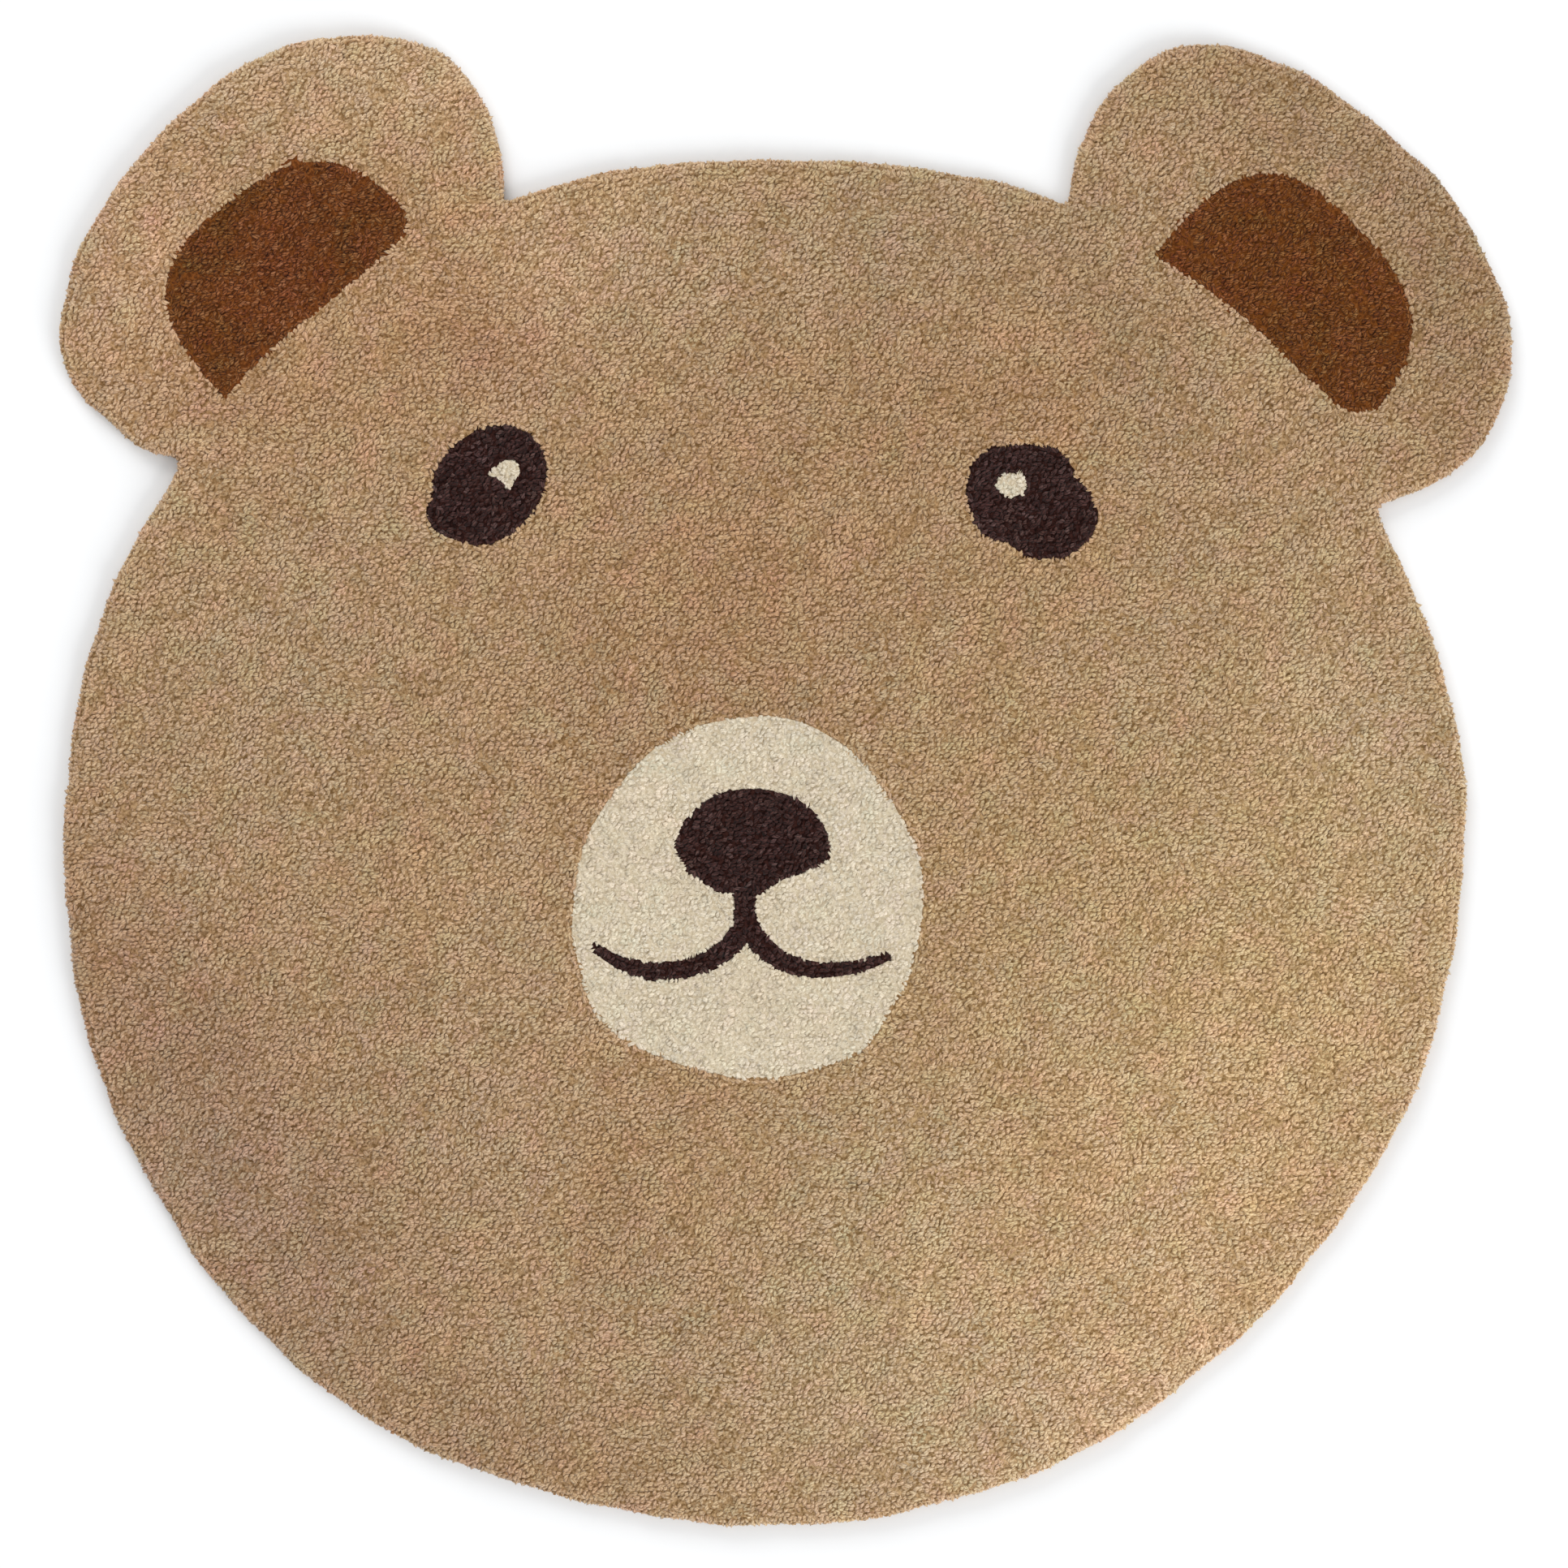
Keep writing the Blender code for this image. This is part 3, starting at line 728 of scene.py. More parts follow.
# %% Gather the muzzle into lumps and sink the locks
LUMP_SIZE, LUMP_DEPTH = 0.0105, 0.0007
LUMP_EDGE = 0.22           # width of the line between lumps, as a share of their size
TRACK_DEPTH = 0.0011       # how far a track's locks are sunk
CREAM_TRACKS = 0.25        # the muzzle's tracks are this much weaker
SUNK_SPREAD = 0.0006       # how far a lock sinks by chance


def lump_edges(places, size, part):
    """Near 1 on the lines between lumps and near 0 in a lump's middle."""
    edges = np.empty(len(places))
    for at, (x, y) in enumerate(places):
        distances, _ = noise.voronoi(Vector((x / size, y / size, part)))
        edges[at] = math.exp(-((distances[1] - distances[0]) / LUMP_EDGE) ** 2)
    return edges


lumps = np.zeros(total)
lumps[cream] = lump_edges(flat_places[cream], LUMP_SIZE, 2.0)
track[cream] *= CREAM_TRACKS
sunk = np.abs(draw.normal(0.0, SUNK_SPREAD, total)) + TRACK_DEPTH * track + LUMP_DEPTH * lumps
middles = feet - normals * (LOCK_CROWN + sunk)[:, None]
print(f"locks are sunk by {sunk.mean() * 1000:.1f} mm on average and {sunk.max() * 1000:.1f} mm at most")

# %% Vary the shape of each lock
# Least and most, as shares of the modelled lock.
LENGTHS, WIDTHS, HEIGHTS = (0.65, 1.30), (0.75, 1.20), (0.75, 1.25)
CREAM_WIDER, CREAM_LOWER = 1.20, 0.75  # the muzzle's locks are wider and flatter
BOW_SPREAD = 0.0006        # how far a strand's middle is bent aside
CROWN_SPREAD = (0.16 * LOCK_LENGTH, 0.10 * LOCK_WIDTH)  # how far its crown is shifted, along and across

stretch = np.stack([draw.uniform(*limits, total) for limits in (LENGTHS, WIDTHS, HEIGHTS)], axis=1)
stretch[cream, 1] *= CREAM_WIDER
stretch[cream, 2] *= CREAM_LOWER
bow = draw.normal(0.0, BOW_SPREAD, total)
crown_shift = draw.normal(0.0, 1.0, (total, 2)) * CROWN_SPREAD
strand_lengths = LOCK_LENGTH * stretch[:, 0]
print(f"strands are {strand_lengths.min() * 1000:.1f} to {strand_lengths.max() * 1000:.1f} mm long")

# %% [markdown]
# ## The colour of each lock
#
# Dyed cotton is never one colour. Each lock differs a little from the next, and whole patches of the
# rug are warmer, greyer or paler than others. Every copy carries its own dye as a colour attribute,
# worked out from the yarn's plain colour, soft clouds of chance and some large patches listed one by one.
# Some of these patches are painted light and shade rather than dye: the lower right, the right rim and
# the top and outer side of the left ear are painted paler, and the lower left rim and the outer side and
# top of the right ear darker. A lighter lock is made paler as well, because yarn that took less dye is
# nearer to white.

# %% Plain colours and large patches
# Linear red, green and blue.
YARN_COLOURS = {
    "tan_pile": (0.537, 0.380, 0.228),
    "cream_pile": (0.698, 0.626, 0.500),
    "dark_brown_pile": (0.055, 0.0192, 0.0154),
    "rust_brown_pile": (0.230, 0.0800, 0.0190),
}
# How unevenly each yarn took its dye, against the tan one.
UNEVENNESS = {"tan_pile": 0.55, "cream_pile": 0.35, "dark_brown_pile": 4.0, "rust_brown_pile": 2.0}

# Large soft patches, some of dye and some of painted light and shade. Columns: x, y, half-length,
# half-width, lean (degrees), lightness, warmth, rosiness.
DYE_PATCHES_AND_PAINTED_LIGHT = {"tan_pile": (
    (0.30, -0.33, 0.34, 0.19, 50.0, 0.29, 0.5, -0.5),    # from the right cheek to the chin: painted light
    (0.30, -0.08, 0.24, 0.20, 0.0, 0.06, 0.3, -0.9),      # right cheek: ochre
    (-0.45, -0.25, 0.22, 0.08, -62.0, -0.20, -0.4, 1.5),  # lower left rim: painted shade, and rosy
    (-0.33, -0.36, 0.18, 0.14, -50.0, -0.02, -0.8, 0.3),  # under the left cheek: greyer
    (-0.40, 0.08, 0.20, 0.16, 90.0, 0.04, -0.6, 0.0),     # left cheek: a little olive
    (0.02, -0.48, 0.30, 0.09, 0.0, 0.04, -0.7, 0.0),      # chin: greyer
    (-0.18, -0.38, 0.16, 0.05, 80.0, 0.06, 0.0, 0.0),     # a pale band up from the chin
    (-0.30, 0.53, 0.13, 0.06, 0.0, 0.22, -0.3, 0.0),      # top of the left ear: painted light
    (-0.47, 0.35, 0.13, 0.07, 80.0, 0.09, 0.6, 0.4),      # its outer side
    (-0.31, 0.37, 0.16, 0.09, 45.0, 0.00, 1.0, 0.3),      # its root: orange
    (-0.15, 0.40, 0.13, 0.07, 10.0, 0.12, -0.3, -0.2),    # left of the crown: pale
    (-0.22, 0.33, 0.05, 0.04, 0.0, -0.12, 0.4, 0.8),      # over the left eye: deep
    (0.50, 0.37, 0.15, 0.06, 100.0, -0.24, -0.3, 0.2),    # outer side of the right ear: painted shade
    (0.38, 0.50, 0.10, 0.06, -30.0, -0.12, -0.4, 0.1),    # its top: painted shade
    (0.15, 0.28, 0.13, 0.10, 0.0, -0.09, 0.3, 0.1),       # round the right eye: deeper
    (0.20, 0.28, 0.06, 0.04, 90.0, 0.00, 0.8, 0.2),       # beside it: orange
    (-0.06, 0.12, 0.16, 0.12, 60.0, -0.10, 0.5, 0.4),     # bridge of the nose: warm
    (0.43, 0.05, 0.17, 0.09, 100.0, 0.11, -0.7, -0.1),    # right rim under the ear: painted light
    (0.05, -0.36, 0.16, 0.09, 80.0, 0.08, -0.6, -0.4),    # under the mouth: pale
    (-0.41, 0.29, 0.07, 0.04, 0.0, -0.10, 0.2, 0.3),      # under the left ear: deep
    (0.27, -0.47, 0.20, 0.05, 35.0, 0.09, 0.0, 0.2),      # lower right rim: painted light
    (-0.50, 0.41, 0.06, 0.05, 80.0, 0.12, 0.0, 0.4),      # outermost part of the left ear: painted light
    (-0.25, 0.33, 0.07, 0.04, 120.0, -0.07, 0.0, 0.3),    # between the left ear and its eye: deep
    (-0.17, 0.36, 0.09, 0.06, 60.0, 0.07, 0.0, 0.3),      # beside it: pale
    (0.25, 0.36, 0.12, 0.04, 120.0, -0.06, -0.4, 0.0),    # between the right ear and its eye: deep
    (0.12, 0.42, 0.12, 0.06, 0.0, 0.00, -0.9, 0.0),       # right of the crown: greyer
    (-0.21, -0.15, 0.17, 0.05, 85.0, 0.07, -0.5, 0.0),    # beside the muzzle: pale
    (-0.45, -0.28, 0.12, 0.06, -62.0, 0.08, -0.9, -0.3),  # in the lower left rim: less of the painted shade
    (-0.135, -0.33, 0.07, 0.025, 85.0, -0.12, 0.3, 0.0),  # a deep band up from the chin
    (-0.20, -0.50, 0.09, 0.04, -20.0, -0.12, 0.0, 0.3),   # lower left of the chin: deep
), "rust_brown_pile": (
    (-0.379, 0.388, 0.07, 0.05, 43.0, 0.05, 0.0, 1.6),    # middle of the left inner ear: redder
    (-0.410, 0.438, 0.12, 0.02, 43.0, -0.12, 0.0, -2.0),  # along its dome: deep
    (-0.441, 0.333, 0.04, 0.03, 43.0, -0.06, 0.0, -1.8),  # its lower end
    (-0.330, 0.407, 0.04, 0.03, 43.0, -0.10, 0.0, -1.2),  # its upper end
    (0.383, 0.364, 0.16, 0.10, -39.0, -0.11, 0.6, -1.7),  # right inner ear: browner
)}
patch_count = sum(len(patches) for patches in DYE_PATCHES_AND_PAINTED_LIGHT.values())
print(f"{len(YARN_COLOURS)} yarns and {patch_count} large patches")

# %% Helpers for tones
# What one step of warmth or rosiness adds to red, green and blue, as shares.
WARMER = np.array((0.045, -0.005, -0.065))
ROSIER = np.array((0.020, -0.035, 0.015))
PALER_POWER = 0.45         # how much paler a lighter strand is
BRIGHTEST = 0.92           # no cotton reflects more light than this


def cloudy(layers):
    """Some layers of clouds added up over all locks."""
    return sum(strength * clouds(flat_places, size, part) for strength, size, part in layers)


def patched(places, yarns):
    """How much lighter, warmer and rosier the large patches of dye and painted light make each place."""
    tones = np.zeros((3, len(places)))
    for yarn, patches in DYE_PATCHES_AND_PAINTED_LIGHT.items():
        for x, y, half_long, half_wide, lean, *changes in patches:
            away = places - (x, y)
            lean = math.radians(lean)
            lengthwise = (away[:, 0] * math.cos(lean) + away[:, 1] * math.sin(lean)) / half_long
            crosswise = (away[:, 1] * math.cos(lean) - away[:, 0] * math.sin(lean)) / half_wide
            share = np.exp(-(lengthwise ** 2 + crosswise ** 2)) * (yarns == yarn)
            tones += np.array(changes)[:, None] * share
    return tones


def toned(colours, lighter, warmer, rosier):
    """Colours made lighter, warmer and rosier. The weakest channel gains most, which makes them paler."""
    paler = (colours.mean(1, keepdims=True) / colours) ** PALER_POWER
    lit = colours * np.exp(lighter[:, None] * paler)
    return np.minimum(lit * (1.0 + warmer[:, None] * WARMER + rosier[:, None] * ROSIER), BRIGHTEST)


# %% Dye the locks
STRAND_SPREAD, STRAND_MOST = 0.12, 1.8  # how much single strands differ in lightness, and the most
# How much painted shade darkens the locks in tracks and on the lines between lumps.
TRACK_PAINTED_SHADE, LUMP_PAINTED_SHADE = 0.40, 0.10
HUE_SPREAD = 0.10          # how much single strands differ in warmth and rosiness
# Clouds of chance. Columns: how strong, how large (metres), which part of the noise.
LIGHT_CLOUDS = ((0.07, 0.045, 12.0), (0.10, 0.012, 13.0))
WARM_CLOUDS = ((1.2, 0.022, 14.0), (0.8, 0.110, 15.0))
ROSY_CLOUDS = ((1.9, 0.018, 16.0), (0.5, 0.070, 17.0))
CREAM_WARMTH, CREAM_ROSINESS, RUST_ROSINESS = 0.5, 0.4, 2.0  # how much of them these yarns show

uneven = np.array([UNEVENNESS[name] for name in yarn_names])
lightness = STRAND_SPREAD * uneven * np.clip(draw.normal(0.0, 1.0, total), -STRAND_MOST, STRAND_MOST)
# Painted shade: locks in tracks and between lumps are dyed darker.
lightness -= TRACK_PAINTED_SHADE * track + LUMP_PAINTED_SHADE * lumps
lightness += cloudy(LIGHT_CLOUDS)
warmth = draw.normal(0.0, HUE_SPREAD, total) + cloudy(WARM_CLOUDS)
rosiness = draw.normal(0.0, HUE_SPREAD, total) + cloudy(ROSY_CLOUDS)
warmth[cream] *= CREAM_WARMTH
rosiness[cream] *= CREAM_ROSINESS
rosiness[yarn_names == "rust_brown_pile"] *= RUST_ROSINESS
# The large patches add dye, and painted light and shade along the rims.
large = patched(flat_places, yarn_names)
plain_dye = np.array([YARN_COLOURS[name] for name in yarn_names])
dye = toned(plain_dye, lightness + large[0], warmth + large[1], rosiness + large[2])
for name in YARN_COLOURS:
    dyed = dye[yarn_names == name]
    print(f"{name}: {len(dyed)} locks, on average", dyed.mean(0).round(3))

# %% [markdown]
# ## Copies joined into pieces
#
# More than ninety thousand objects would choke Blender, so the copies of each part of the face are
# joined as they are made. An array of places multiplies the lock's corners, and the faces follow with
# their numbers shifted. Faces near the root come first and tips last, so that a texture baked from
# above ends up with the tips on top.

# %% Join copies of the lock
lock_corners = np.array([corner.co for corner in lock.data.vertices])
lock_faces = np.array([face.vertices for face in lock.data.polygons])
lock_faces = lock_faces[np.argsort(lock_corners[lock_faces, 2].mean(1), kind="stable")]
FLOOR_CLEARANCE = 0.0004   # no lock goes lower than this
END_SHADE = 0.13           # painted shade: how far the two ends are from the middle on the scale from root to tip; the end over the root is darker and the free end paler
corner_height = (lock_corners[:, 2] + LOCK_ROOT) / (LOCK_ROOT + LOCK_CROWN)
crown = int(np.argmax(corner_height))
end_height = corner_height + END_SHADE * lock_corners[:, 0] / (0.5 * LOCK_LENGTH)
strand_shift = draw.uniform(0.0, 1.0, (total, 2))  # each strand shows another part of its textures


def plant(name, chosen):
    """Joins copies of the lock at the chosen places into one object."""
    shape = lock_corners * stretch[chosen][:, None]
    shape[:, crown, :2] += crown_shift[chosen]
    shape[:, :, 1] += bow[chosen][:, None] * (shape[:, :, 0] / (0.5 * LOCK_LENGTH)) ** 2
    corners = middles[chosen][:, None] + sum(
        shape[:, :, axis, None] * frame_axis[chosen][:, None]
        for axis, frame_axis in enumerate((along, across, upward))
    )
    corners[:, :, 2] = np.maximum(corners[:, :, 2], FLOOR_CLEARANCE)
    corners = corners.reshape(-1, 3)
    firsts = len(lock_corners) * np.arange(len(chosen))
    faces = (lock_faces[:, None] + firsts[None, :, None]).reshape(-1, 3)
    mesh = bpy.data.meshes.new(name)
    mesh.from_pydata(corners, [], faces)
    mesh.shade_smooth()
    colours = np.ones((len(corners), 4), np.float32)
    colours[:, :3] = np.repeat(dye[chosen], len(lock_corners), axis=0)
    mesh.attributes.new("dye", "FLOAT_COLOR", "POINT").data.foreach_set("color", colours.ravel())
    heights = np.tile(end_height, len(chosen)).astype(np.float32)
    mesh.attributes.new("tip", "FLOAT", "POINT").data.foreach_set("value", heights)
    loops = faces.ravel()
    strand = (shape[:, :, :2] + strand_shift[chosen][:, None]).reshape(-1, 2)
    mesh.uv_layers.new(name="strand").uv.foreach_set("vector", strand[loops].astype(np.float32).ravel())
    from_above = (corners[:, :2] - corners[:, :2].min(0)) / np.ptp(corners[:, :2], axis=0).max()
    mesh.uv_layers.new(name="OFBake").uv.foreach_set("vector", from_above[loops].astype(np.float32).ravel())
    piece = bpy.data.objects.new(name, mesh)
    bpy.context.scene.collection.objects.link(piece)
    return piece


print(f"a copy has {len(lock_corners)} corners, and corner {crown} is its crown")

# %% [markdown]
# The plain fur is divided into eight pieces, so that none is too heavy. The borders between them don't
# show, because a lock belongs wholly to one piece and leans over the border as it would anywhere.

# %% Plant the locks
SPLIT_X = -0.02            # between the left and the right pieces
EAR_MIDDLE, EAR_BORDER = -0.01, 0.60  # a slanting border across the root of each ear
BROW_Y, CHIN_Y = 0.06, -0.24  # the brow is above the first and the chin below the second

x, y = flat_places[:, 0], flat_places[:, 1]
fur = area_number < 0
in_ear = fur & (np.abs(x - EAR_MIDDLE) + y > EAR_BORDER)
fur_parts = {
    "ear": in_ear,
    "brow": fur & ~in_ear & (y >= BROW_Y),
    "cheek": fur & (y < BROW_Y) & (y >= CHIN_Y),
    "chin": fur & (y < CHIN_Y),
}
left = x < SPLIT_X
zones = {}
for part, here in fur_parts.items():
    zones[f"left_{part}_pile"] = here & left
    zones[f"right_{part}_pile"] = here & ~left
named = np.array([area["name"] for area in areas] + ["fur"])[area_number]
zones["muzzle_pile"] = named == "muzzle"
zones["nose_and_mouth_pile"] = np.isin(named, ("nose", *STROKES))
for side in ("left", "right"):
    zones[f"{side}_eye_pile"] = named == f"{side}_eye"
    zones[f"{side}_eye_light_pile"] = named == f"{side}_light"
    zones[f"{side}_inner_ear_pile"] = named == f"{side}_inner_ear"
pile = {}
for name, here in zones.items():
    chosen = np.flatnonzero(here)
    pile[name] = plant(name, chosen)
    print(f"{name}: {len(chosen)} locks, {len(pile[name].data.polygons)} triangles")
bpy.data.objects.remove(lock)

# %% [markdown]
# ## Finishes
#
# Cotton yarn is matte with a faint bloom of loose fibres, which sheen gives. The dye comes from the
# attribute of each copy. Along each strand run fine fibres and the slanting grooves of its twist: both
# are textures on the strand's own map, where one unit is a metre, so they turn with the lock, and the
# grooves are darkened with painted shade. Painted shade also darkens the roots, as if little light got
# down to them, and of a strand's two ends it makes the one that leaves its root darker and the free end
# paler.
#
# First come helpers for what every finish needs: to add a node, lay a pattern out on coordinates, turn
# a value into a colour, put two together, and let a value raise the surface.

# %% Helpers for finishes
def add(tree, kind, **settings):
    """Adds a node and sets it up."""
    made = tree.nodes.new(kind)
    for key, value in settings.items():
        if key in made.inputs:
            made.inputs[key].default_value = value
        else:
            setattr(made, key, value)
    return made


def laid_out(tree, kind, place, **settings):
    """Adds a node that works on given coordinates."""
    made = add(tree, kind, **settings)
    tree.links.new(place, made.inputs["Vector"])
    return made


def new_finish(name, roughness, shine):
    """A material, its nodes and its Principled shader, as rough and as shiny as given."""
    finish = bpy.data.materials.new(name)
    finish.use_nodes = True
    shader = finish.node_tree.nodes["Principled BSDF"]
    shader.inputs["Roughness"].default_value = roughness
    shader.inputs["Specular IOR Level"].default_value = shine
    return finish, finish.node_tree, shader


def ramp(tree, value, low, low_colour, high, high_colour):
    """The colour socket that fades from one colour to another as a value goes from low to high."""
    fade = add(tree, "ShaderNodeValToRGB")
    for stop, place, colour in zip(fade.color_ramp.elements, (low, high), (low_colour, high_colour)):
        stop.position = place
        stop.color = (*colour, 1.0)
    tree.links.new(value, fade.inputs["Fac"])
    return fade.outputs["Color"]


def multiplied(tree, first, second):
    """The socket that holds two colours multiplied."""
    mix = add(tree, "ShaderNodeMix", data_type="RGBA", blend_type="MULTIPLY")
    mix.inputs["Factor"].default_value = 1.0
    tree.links.new(first, mix.inputs["A"])
    tree.links.new(second, mix.inputs["B"])
    return mix.outputs["Result"]


def reckoned(tree, operation, first, second):
    """The socket that holds two values added or multiplied."""
    made = add(tree, "ShaderNodeMath", operation=operation)
    tree.links.new(first, made.inputs[0])
    tree.links.new(second, made.inputs[1])
    return made.outputs[0]


def bumped(tree, height, shader, strength, distance):
    """Lets a value raise the surface, at most by a distance in metres."""
    bump = add(tree, "ShaderNodeBump", Strength=strength, Distance=distance)
    tree.links.new(height, bump.inputs["Height"])
    tree.links.new(bump.outputs["Normal"], shader.inputs["Normal"])


# %% Cotton yarn
WHITE = (1.0, 1.0, 1.0)
TWIST_TURN = math.radians(24.0)  # how the grooves slant across the strand


def cotton(name, painted_root_shade, groove_painted_shade, sheen):
    """Twisted cotton yarn that takes its colour from the dye of each lock, with painted shade at the roots
    and in the grooves.
    """
    finish, tree, shader = new_finish(name, 0.95, 0.2)
    shader.inputs["Sheen Weight"].default_value = sheen
    shader.inputs["Sheen Roughness"].default_value = 0.6
    lock_dye = add(tree, "ShaderNodeAttribute", attribute_name="dye").outputs["Color"]
    tip = add(tree, "ShaderNodeAttribute", attribute_name="tip").outputs["Fac"]
    strand = add(tree, "ShaderNodeUVMap", uv_map="strand").outputs["UV"]
    # At this scale a groove between the two plies comes every 1.9 mm.
    slanted = laid_out(tree, "ShaderNodeMapping", strand, Rotation=(0.0, 0.0, TWIST_TURN)).outputs["Vector"]
    twist = laid_out(tree, "ShaderNodeTexWave", slanted, Scale=165.0, Distortion=1.6, Detail=1.0)
    twist.bands_direction = "Y"
    # Fibres are noise that is squeezed across the strand, which draws it out along the strand.
    squeezed = laid_out(tree, "ShaderNodeMapping", strand, Scale=(1.0, 3.0, 1.0)).outputs["Vector"]
    fibre = laid_out(tree, "ShaderNodeTexNoise", squeezed, Scale=900.0, Detail=3.0)
    # Painted shade: each lock is darker towards its root, as if little light got down there.
    shade = ramp(tree, tip, 0.47, painted_root_shade, 0.98, WHITE)
    # Painted shade darkens the grooves between the plies, and a faint painted highlight lightens their
    # crests.
    groove = ramp(tree, twist.outputs["Fac"], 0.02, groove_painted_shade, 0.36, (1.05, 1.05, 1.05))
    streak = ramp(tree, fibre.outputs["Fac"], 0.30, (0.74, 0.71, 0.67), 0.70, (1.15, 1.16, 1.18))
    shaded = multiplied(tree, multiplied(tree, lock_dye, shade), groove)
    tree.links.new(multiplied(tree, shaded, streak), shader.inputs["Base Color"])
    relief = reckoned(tree, "ADD", twist.outputs["Fac"], fibre.outputs["Fac"])
    bumped(tree, relief, shader, 0.45, 0.0003)
    return finish


# Columns: name, painted shade at the roots, painted shade in the grooves, sheen.
finishes = {
    "tan_pile": cotton("tan_cotton", (0.58, 0.44, 0.29), (0.68, 0.58, 0.47), 0.20),
    "cream_pile": cotton("cream_cotton", (0.90, 0.86, 0.79), (0.86, 0.83, 0.77), 0.20),
    "dark_brown_pile": cotton("dark_brown_cotton", (0.22, 0.18, 0.17), (0.22, 0.19, 0.18), 0.05),
    "rust_brown_pile": cotton("rust_brown_cotton", (0.22, 0.13, 0.05), (0.28, 0.18, 0.08), 0.03),
}
print("finishes:", [finish.name for finish in finishes.values()])

# %% [markdown]
# The ground shows in the gaps between the locks, and from below as the plain woven cloth that holds
# them. Its top wears the same dyes darkened with painted shade, between a deep and a high level, with the
# same large patches. The weave is two sets of waves at right angles, threads going over and under, on
# Object coordinates because the underside is flat.

# %% Dense pile and woven cloth
def dense_pile(name, colour, deep, high):
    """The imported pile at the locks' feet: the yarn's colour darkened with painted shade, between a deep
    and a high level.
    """
    finish, tree, shader = new_finish(name, 1.0, 0.1)
    place = add(tree, "ShaderNodeTexCoord").outputs["Object"]
    fluff = laid_out(tree, "ShaderNodeTexNoise", place, Scale=420.0, Detail=4.0).outputs["Fac"]
    tone = ramp(tree, fluff, 0.38, np.multiply(colour, deep), 0.62, np.multiply(colour, high))
    patch = add(tree, "ShaderNodeAttribute", attribute_name="patch").outputs["Color"]
    tree.links.new(multiplied(tree, tone, patch), shader.inputs["Base Color"])
    bumped(tree, fluff, shader, 1.0, 0.0030)
    return finish


def ground_cloth(name):
    """A plain weave of thick cotton threads, 1.7 mm apart, as seen from below."""
    finish, tree, shader = new_finish(name, 0.95, 0.2)
    place = add(tree, "ShaderNodeTexCoord").outputs["Object"]
    threads = []
    for direction in ("X", "Y"):
        wave = laid_out(tree, "ShaderNodeTexWave", place, Scale=180.0, Distortion=0.6, Detail=1.0)
        wave.bands_direction = direction
        threads.append(wave.outputs["Fac"])
    weave = reckoned(tree, "MULTIPLY", *threads)
    slub = laid_out(tree, "ShaderNodeTexNoise", place, Scale=60.0, Detail=5.0).outputs["Fac"]
    uneven_weave = reckoned(tree, "ADD", weave, slub)
    tone = ramp(tree, uneven_weave, 0.3, (0.36, 0.30, 0.22), 1.3 / 1.5, (0.66, 0.58, 0.46))
    tree.links.new(tone, shader.inputs["Base Color"])
    bumped(tree, weave, shader, 0.7, 0.0006)
    return finish


# %% [markdown]
# ## Finer ground along the drawn lines
#
# Each face of the ground takes one finish. The solid's faces are too large for that along the drawn
# lines: a tan face would show as a bright speck in the gaps of a dark eye. So the faces round every
# drawn line are subdivided. Subdivide leaves some faces with many corners beside the divided ones, and
# they are cut into triangles again.

# %% Subdivide the ground near the drawn lines
NEAR_LINE = 0.024          # a face is divided when all its corners are this near a drawn line

line_tree = KDTree(sum(len(area["line"]) for area in areas))
for place in np.vstack([area["line"] for area in areas]):
    line_tree.insert((*place, 0.0), 0)
line_tree.balance()
open_mesh(ground)
pick(ground, lambda place: place.z > LEVEL and line_tree.find((place.x, place.y, 0.0))[2] < NEAR_LINE)
bpy.ops.mesh.subdivide(number_cuts=4)
bpy.ops.mesh.select_all(action="SELECT")
bpy.ops.mesh.quads_convert_to_tris()
close_mesh()
print(f"the ground now has {len(ground.data.polygons)} faces")

# %% [markdown]
# ## The ground's colours
#
# Every face asks which area its middle lies in and takes that yarn's finish. The border of an area is
# moved a little on the ground, so that the darker of two yarns reaches under the first row of the paler
# one: a dark gap in pale pile looks like shadow, but a pale gap in dark pile looks like a hole.

# %% Colour the ground
# Painted shade for the ground in the gaps: a deep and a high level for each yarn, as shares of its colour.
GROUND_PAINTED_SHADES = {
    "tan_pile": ((0.34, 0.26, 0.16), (0.84, 0.75, 0.63)),
    "cream_pile": ((0.76, 0.70, 0.60), (0.98, 0.95, 0.90)),
    "dark_brown_pile": ((0.18, 0.15, 0.14), (0.70, 0.66, 0.62)),
    "rust_brown_pile": ((0.40, 0.32, 0.26), (0.90, 0.82, 0.75)),
}
# How far an area's ground reaches past its drawn line, and under zero how far it stays inside.
GROUND_SPREADS = {
    "muzzle": -0.0014, "nose": 0.0010, "stem": 0.0010, "mouth_left": 0.0010, "mouth_right": 0.0010,
    "left_eye": 0.0014, "right_eye": 0.0014, "left_light": -0.0010, "right_light": -0.0010,
    "left_inner_ear": 0.0014, "right_inner_ear": 0.0014,
}
BELOW = -0.9               # a face whose normal points down more than this is the underside

ground.data.materials.clear()
ground_slots = list(YARN_COLOURS)
for name in ground_slots:
    ground.data.materials.append(dense_pile(f"dense_{name}", YARN_COLOURS[name], *GROUND_PAINTED_SHADES[name]))
ground.data.materials.append(ground_cloth("ground_cloth"))
ground_places = np.array([corner.co[:2] for corner in ground.data.vertices])
ground_yarns = np.array([yarn_of_area[number] for number in area_at(ground_places)])
plain_colours = np.array([YARN_COLOURS[name] for name in ground_yarns])
patch_colours = np.ones((len(ground_places), 4), np.float32)
patch_colours[:, :3] = toned(plain_colours, *patched(ground_places, ground_yarns)) / plain_colours
ground.data.attributes.new("patch", "FLOAT_COLOR", "POINT").data.foreach_set("color", patch_colours.ravel())
face_middles = np.array([face.center for face in ground.data.polygons])
face_areas = area_at(face_middles[:, :2], GROUND_SPREADS)
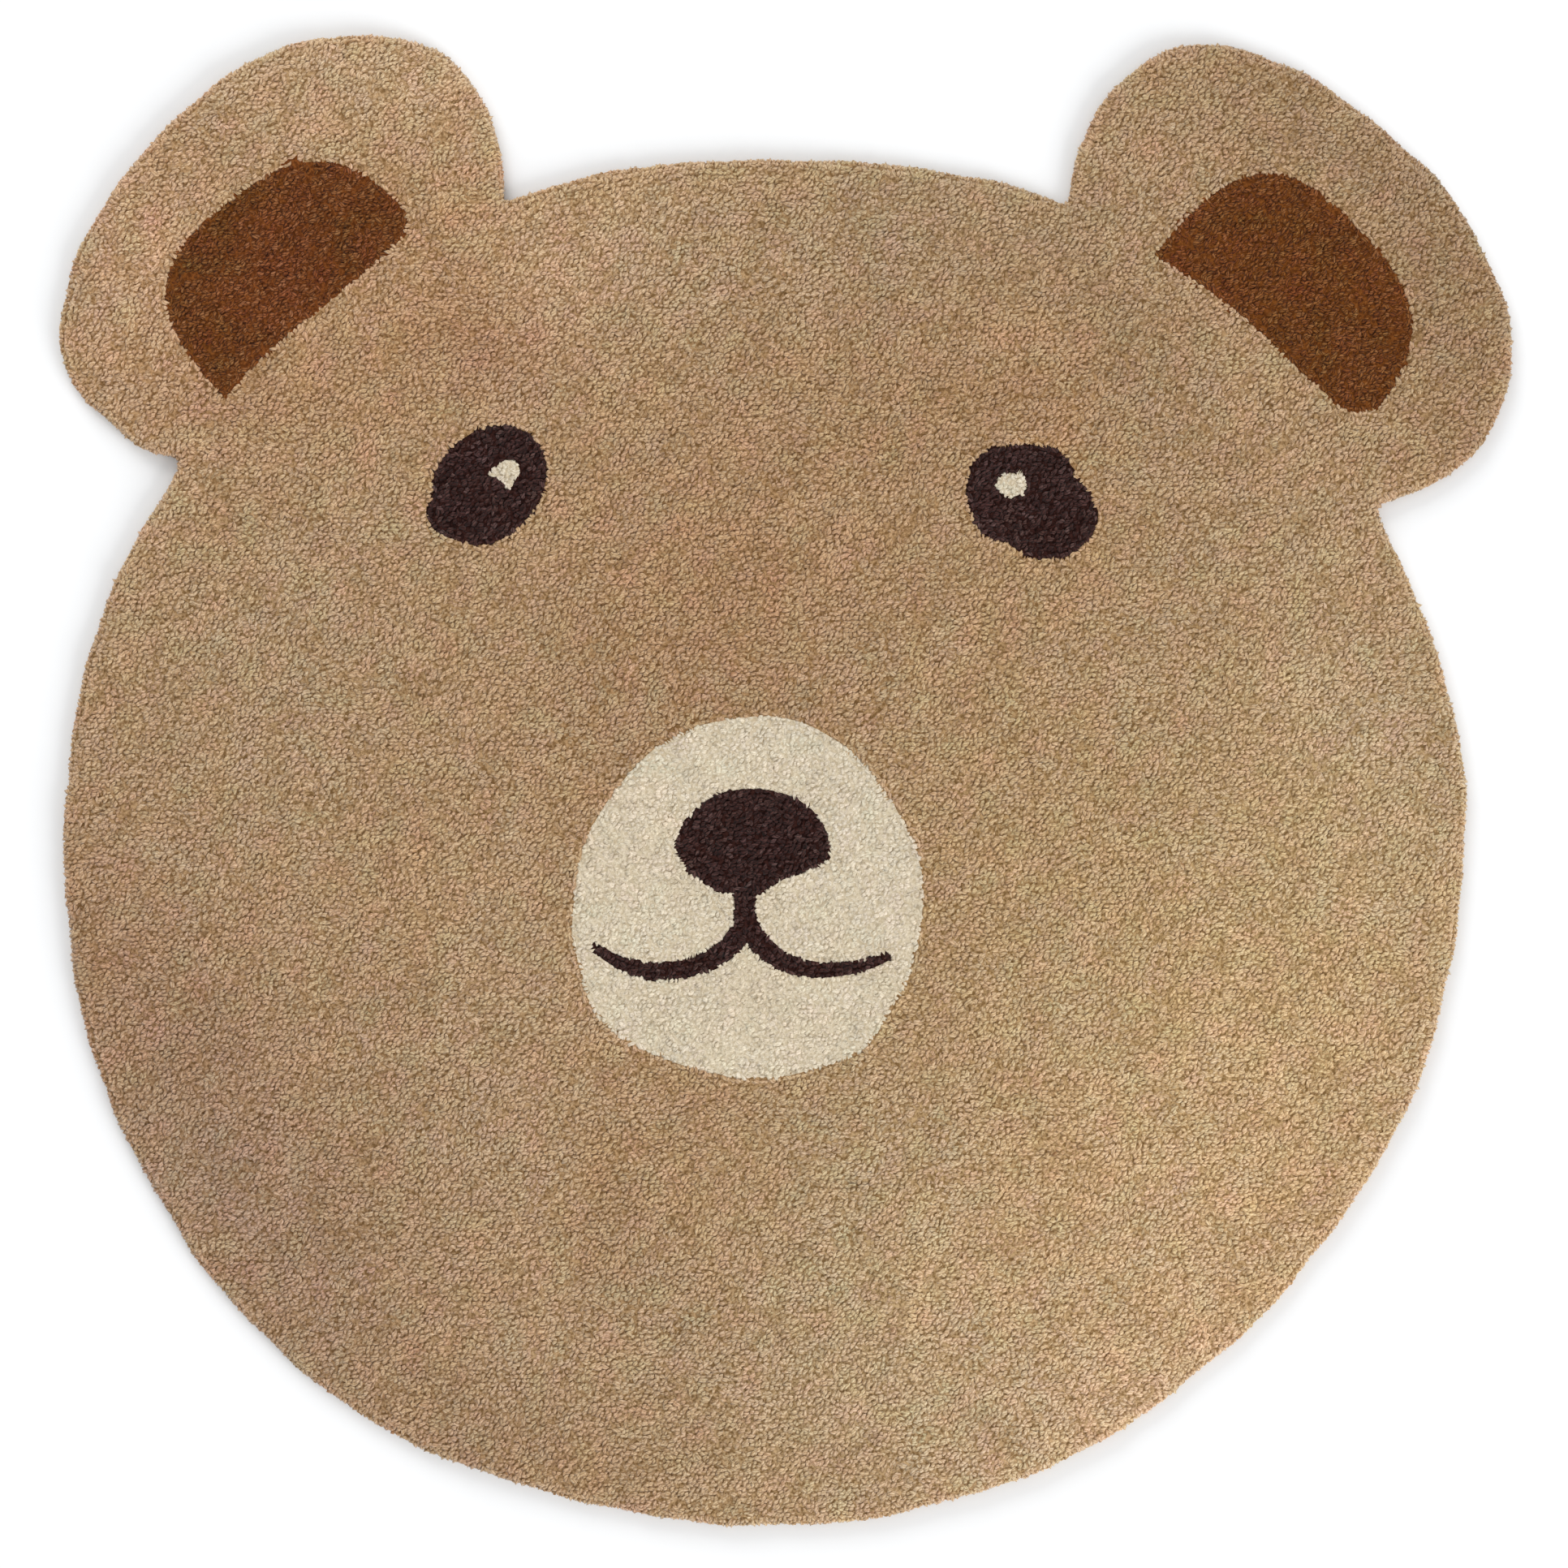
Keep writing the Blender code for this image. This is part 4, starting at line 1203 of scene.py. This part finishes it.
underside = 0
for face, number in zip(ground.data.polygons, face_areas):
    below = face.normal.z < BELOW
    face.material_index = len(ground_slots) if below else ground_slots.index(yarn_of_area[number])
    underside += below
print(f"{underside} faces are woven cloth and the others are dense pile")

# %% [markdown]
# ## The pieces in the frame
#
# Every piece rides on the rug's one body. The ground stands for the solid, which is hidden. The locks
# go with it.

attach(ground, "root")
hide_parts("tufted_rug")
for name, piece in pile.items():
    yarn = str(yarn_names[np.flatnonzero(zones[name])[0]])
    piece.data.materials.append(finishes[yarn])
    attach(piece, "root")
print(f"{len(pile) + 1} pieces ride on the rug's body")

# %% [markdown]
# ## Floor and light
#
# The floor is plain and pale. Flat textiles are photographed between two large soft lamps, one on each
# side, so that no fold throws a hard shadow. Here the stronger one stands at the lower right and the
# weaker one at the upper left, and a bright room fills in the rest.

# %% Lay the floor
FLOOR_SIZE, FLOOR_DROP = 12.0, 0.0003  # a little under the rug, so that the two never flicker

bpy.ops.mesh.primitive_plane_add(size=FLOOR_SIZE, location=(0.0, 0.0, -FLOOR_DROP))
floor = bpy.context.active_object
floor.name = "floor"
floor_finish, _, floor_shader = new_finish("pale_floor", 0.9, 0.5)
floor_shader.inputs["Base Color"].default_value = (0.82, 0.83, 0.84, 1.0)
floor.data.materials.append(floor_finish)
print(f"the floor is {FLOOR_SIZE:.0f} m wide")

# %% Stand the lamps and light the room
# Columns: direction it stands in (degrees from +X), height over the floor (degrees), power (watts).
LAMPS = {
    "key_lamp": (318.0, 25.0, 780.0),
    "fill_lamp": (115.0, 25.0, 640.0),
}
LAMP_DISTANCE, LAMP_SIZE = 10.0, 6.0  # metres
ROOM_BRIGHTNESS = 0.74     # of the white light that comes from all sides

for name, (direction, elevation, power) in LAMPS.items():
    turn, rise = math.radians(direction), math.radians(elevation)
    level = math.cos(rise)
    place = Vector((math.cos(turn) * level, math.sin(turn) * level, math.sin(rise))) * LAMP_DISTANCE
    aim = (-place).to_track_quat("-Z", "Y").to_euler()
    bpy.ops.object.light_add(type="AREA", location=place, rotation=aim)
    lamp = bpy.context.active_object
    lamp.name = name
    lamp.data.energy = power
    lamp.data.size = LAMP_SIZE
    print(f"{name} stands {place.z:.1f} m over the floor")
room = bpy.data.worlds.new("bright_room")
room.use_nodes = True
background = room.node_tree.nodes["Background"]
background.inputs["Color"].default_value = (*WHITE, 1.0)
background.inputs["Strength"].default_value = ROOM_BRIGHTNESS
bpy.context.scene.world = room
# Standard shows the colours as they are, without the curve of a film.
bpy.context.scene.view_settings.view_transform = "Standard"
